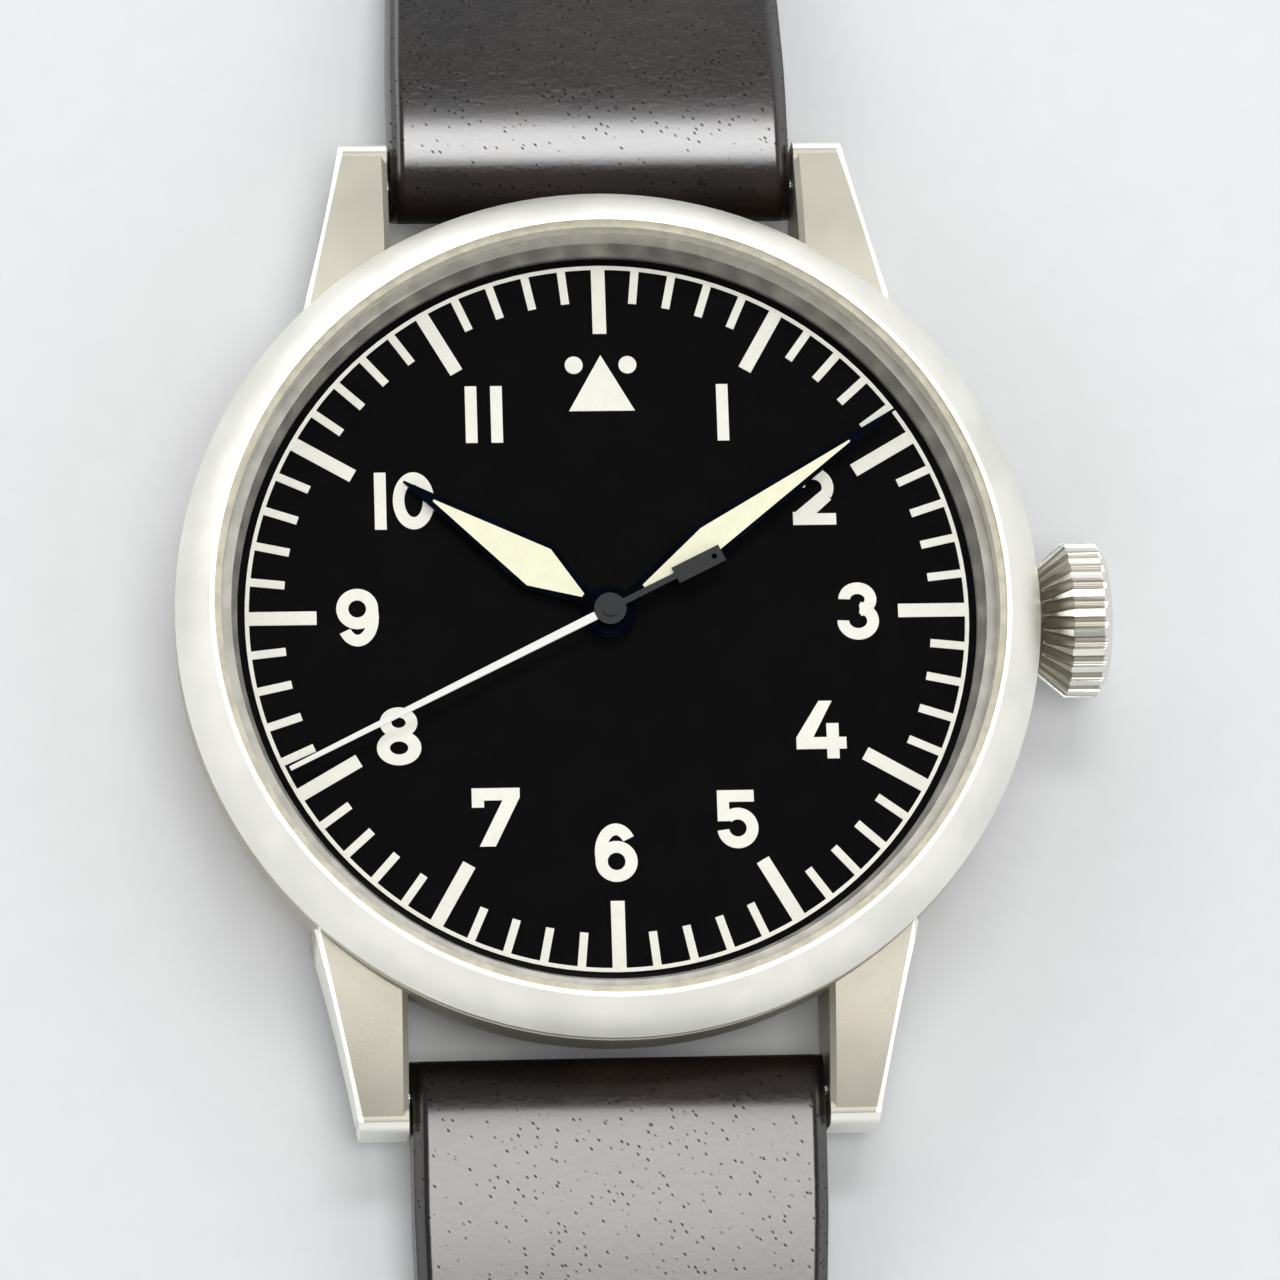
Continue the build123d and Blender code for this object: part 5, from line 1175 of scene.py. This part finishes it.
@dataclass
class HoleHalf(StrapHalf):
    """The strap half with the holes, at six o'clock, lying in a low arch."""

    arch: float = 0.0016
    tip_thickness: float = 0.0021
    tip_round: float = 0.009
    hole_radius: float = 0.001
    hole_first: float = 0.022
    hole_pitch: float = 0.0065
    holes: int = 8
    hole_segments: int = 24
    tip_stations: int = 17
    tip_step: float = 5.0

    def width_at(self, along: float) -> float:
        """Rounds the half width off at the tip.

        Args:
            along: A distance from the watch's axis.

        Returns:
            Half the width there.
        """
        plain = super().width_at(along)
        beyond = along - (self.far - self.tip_round)
        if beyond <= 0:
            return plain
        return plain * math.sqrt(max(1.0 - (beyond / self.tip_round) ** 2, 1e-5))

    def faces_at(self, along: float) -> tuple[float, float]:
        """Gives the heights of the underside and the top.

        Args:
            along: A distance from the watch's axis.

        Returns:
            The two heights.
        """
        slope_end = self.bar_y + self.slope_run
        if along <= self.bar_y:
            half = self.loop_half(along, self.bar_y, self.loop_radius)
            return self.bar_z - half, self.bar_z + half
        if along <= slope_end:
            share = smooth_step((along - self.bar_y) / self.slope_run)
            low = between(self.bar_z - self.loop_radius, 0.0, share)
            return low, between(self.bar_z + self.loop_radius, self.thickness, share)
        share = (along - slope_end) / (self.far - slope_end)
        low = self.arch * (1.0 - math.cos(math.tau * share)) / 2
        return low, low + between(self.thickness, self.tip_thickness, share)

    def places(self) -> list[float]:
        """Cuts the strap closer together round its tip too.

        Returns:
            Distances from the watch's axis, in order.
        """
        turns = [math.radians(self.tip_step * index) for index in range(1, self.tip_stations + 1)]
        start = self.far - self.tip_round
        tip = [self.far - self.tip_round * (1.0 - math.cos(turn)) for turn in turns]
        return sorted([place for place in super().places() if place < start] + tip)

    def cutters(self) -> bmesh.types.BMesh:
        """Shapes the row of holes as one cutter.

        Returns:
            The holes.
        """
        mesh = bmesh.new()
        for index in range(self.holes):
            along = self.far - self.hole_first - index * self.hole_pitch
            bmesh.ops.create_cone(
                mesh,
                cap_ends=True,
                segments=self.hole_segments,
                radius1=self.hole_radius,
                radius2=self.hole_radius,
                depth=self.punch_depth,
                matrix=Matrix.Translation((0.0, along * self.side, 0.0)),
            )
        return mesh


@dataclass
class Keeper:
    """A closed leather loop round the strap."""

    name: str
    node: str
    body: str
    wall: float = 0.0012
    corner: float = 0.0011
    corner_segments: int = 6
    rows: int = 8
    edge_share: float = 0.25
    edge_segments: int = 3
    sharp_angle: float = 50.0

    def build(self) -> bpy.types.Object:
        """Bends a band round the loop's section and gives it a wall.

        Returns:
            The finished piece.
        """
        low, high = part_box(self.node)
        mesh = bmesh.new()
        bmesh.ops.create_grid(mesh, x_segments=1, y_segments=1, size=0.5)
        bmesh.ops.delete(mesh, geom=mesh.faces[:], context="FACES_ONLY")
        width, height = high.x - low.x - 2 * self.wall, high.z - low.z - 2 * self.wall
        bmesh.ops.scale(mesh, vec=(width, height, 1.0), verts=mesh.verts)
        bmesh.ops.rotate(mesh, verts=mesh.verts, matrix=Matrix.Rotation(math.pi / 2, 3, "X"))
        bmesh.ops.bevel(
            mesh,
            geom=mesh.verts[:],
            offset=self.corner,
            segments=self.corner_segments,
            profile=0.5,
            affect="VERTICES",
            material=-1,
        )
        bmesh.ops.translate(mesh, vec=(0.0, low.y, (low.z + high.z) / 2), verts=mesh.verts)
        rim = mesh.edges[:]
        for _ in range(self.rows):
            grown = bmesh.ops.extrude_edge_only(mesh, edges=rim)["geom"]
            moved = [item for item in grown if isinstance(item, bmesh.types.BMVert)]
            rim = [item for item in grown if isinstance(item, bmesh.types.BMEdge)]
            rim = [edge for edge in rim if all(vert in moved for vert in edge.verts)]
            bmesh.ops.translate(mesh, vec=(0.0, (high.y - low.y) / self.rows, 0.0), verts=moved)
        loop = piece_from(self.name, mesh, (Coating.LEATHER.value,))
        wall = loop.modifiers.new("wall", "SOLIDIFY")
        wall.thickness = self.wall
        wall.offset = 1.0
        edge = loop.modifiers.new("edge", "BEVEL")
        edge.width = self.edge_share * self.wall
        edge.segments = self.edge_segments
        edge.limit_method = "ANGLE"
        applied(loop)
        smoothed(loop, self.sharp_angle)
        return loop


@dataclass(frozen=True)
class Lamp:
    """A soft rectangular lamp that faces the watch."""

    name: str
    place: Point
    size: tuple[float, float]
    watts: float
    colour: Colour

    def build(self) -> None:
        """Hangs the lamp with its width level."""
        data = bpy.data.lights.new(self.name, "AREA")
        data.shape = "RECTANGLE"
        data.size, data.size_y = self.size
        data.energy = self.watts
        data.color = self.colour
        made = bpy.data.objects.new(self.name, data)
        bpy.context.scene.collection.objects.link(made)
        away = Vector(self.place).normalized()
        level = Vector((0.0, 1.0, 0.0)).cross(away).normalized()
        made.matrix_world = Matrix((level, away.cross(level), away)).transposed().to_4x4()
        made.location = self.place
        log.info("lamp %s of %.2f W", self.name, self.watts)


@dataclass
class Studio:
    """A pale floor, soft lamps, the world and the photograph's camera.

    The camera's turns are in degrees. Its scale is the photograph's pixels per metre in the plane
    at plane_z, seen from distance metres. The world is bright to the sides and dim overhead, and a
    black card stands at flag, where the flat glass mirrors it.
    """

    tilt: float = -13.25
    roll: float = 4.87
    turn: float = 1.89
    offset: tuple[float, float] = (-0.00148, 1.06e-3)
    distance: float = 0.3
    plane_z: float = 0.008
    scale: float = 20641.0
    frame_width: float = 1280.0
    axis_row: float = 633.0
    sensor_width: float = 36.0
    sky: Colour = (0.98, 0.99, 1.0)
    dim: float = 0.185
    bright: float = 1.03
    sides_up_to: float = 0.58
    overhead_from: float = 0.84
    flag: Point = (0.083, 0.229, 0.97)
    flag_edges: tuple[float, float] = (15.0, 9.5)
    flag_light: float = 0.01
    floor_half: float = 2.0
    lamps: tuple[Lamp, ...] = (
        Lamp("strip_twelve", (0.045, 0.245, 0.455), (0.24, 0.08), 0.6, (1.0, 1.0, 1.0)),
        Lamp("strip_six", (0.045, -0.08, 0.51), (0.24, 0.205), 0.87, (1.0, 0.99, 0.975)),
        Lamp("softbox_back", (0.0, 0.6, 0.16), (0.8, 0.2), 0.84, (1.0, 1.0, 0.99)),
        Lamp("softbox_left", (-0.4, 0.3, 0.3), (0.3, 0.3), 0.33, (1.0, 1.0, 0.98)),
    )

    def camera(self) -> None:
        """Places the camera as it was fitted to the photograph's points."""
        turned = (
            Matrix.Rotation(math.radians(self.turn), 3, "Z")
            @ Matrix.Rotation(math.radians(self.tilt), 3, "X")
            @ Matrix.Rotation(math.radians(self.roll), 3, "Y")
        ).transposed()
        place = turned @ Vector((-self.offset[0], -self.offset[1], self.distance))
        place.z += self.plane_z
        data = bpy.data.cameras.new("photo_camera")
        data.sensor_width = self.sensor_width
        data.lens = self.scale * self.distance / self.frame_width * self.sensor_width
        data.shift_y = (self.axis_row - self.frame_width / 2) / self.frame_width
        data.clip_start = 0.01
        made = bpy.data.objects.new("photo_camera", data)
        bpy.context.scene.collection.objects.link(made)
        made.matrix_world = Matrix.Translation(place) @ turned.to_4x4()
        bpy.context.scene.camera = made

    def world(self) -> None:
        """Lights from all round, less from above, with the black card that the glass mirrors."""
        world = bpy.data.worlds.new("studio")
        world.use_nodes = True
        graph = Graph(world.node_tree)
        place = graph.node("ShaderNodeTexCoord", {}, {})
        parts = graph.node("ShaderNodeSeparateXYZ", {}, {"Vector": place.outputs["Generated"]})
        across, along, up = (Value(graph, parts.outputs[name]) for name in ("X", "Y", "Z"))
        towards = self.flag[0] * across + self.flag[1] * along + self.flag[2] * up
        outer, inner = (math.cos(math.radians(edge)) for edge in self.flag_edges)
        card = towards.ramp(outer, inner, 1.0, self.flag_light)
        glow = up.ramp(self.sides_up_to, self.overhead_from, self.bright, self.dim) * card
        sky = {"Color": (*self.sky, 1.0), "Strength": glow}
        back = graph.node("ShaderNodeBackground", {}, sky)
        out = graph.node("ShaderNodeOutputWorld", {}, {})
        graph.tree.links.new(back.outputs[0], out.inputs["Surface"])
        bpy.context.scene.world = world

    def floor(self) -> None:
        """Lays a wide pale floor that the back rests on."""
        mesh = bmesh.new()
        bmesh.ops.create_grid(mesh, x_segments=8, y_segments=8, size=self.floor_half)
        paint = Coating.FLOOR.value
        piece_from("studio_floor", mesh, (paint,))

    def build(self) -> None:
        """Sets up the floor, the world, the lamps, the camera and the view."""
        self.floor()
        self.world()
        for lamp in self.lamps:
            lamp.build()
        self.camera()
        bpy.context.scene.view_settings.view_transform = "Standard"


def main() -> None:
    """Loads the model, dresses it, adds the leather pieces and lights the scene."""
    logging.basicConfig(level=logging.INFO, format="%(message)s")
    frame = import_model()
    MovementAndCase().dress(frame["nodes"])
    halves = (
        BuckleHalf("strap_at_twelve", "strap_buckle_half", "buckle_strap", 1, 0.076),
        HoleHalf("strap_at_six", "strap_hole_half", "hole_strap", -1, 0.115),
    )
    for half in halves:
        strap = half.build()
        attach(strap, half.body)
        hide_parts(half.node)
        log.info("%s has %d faces", strap.name, len(strap.data.polygons))
    keepers = (
        Keeper("keeper_fixed", "fixed_keeper", "buckle_strap"),
        Keeper("keeper_sliding", "sliding_keeper", "keeper"),
    )
    for keeper in keepers:
        loop = keeper.build()
        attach(loop, keeper.body)
        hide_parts(keeper.node)
        log.info("%s has %d faces", loop.name, len(loop.data.polygons))
    Studio().build()


if __name__ == "__main__":
    main()
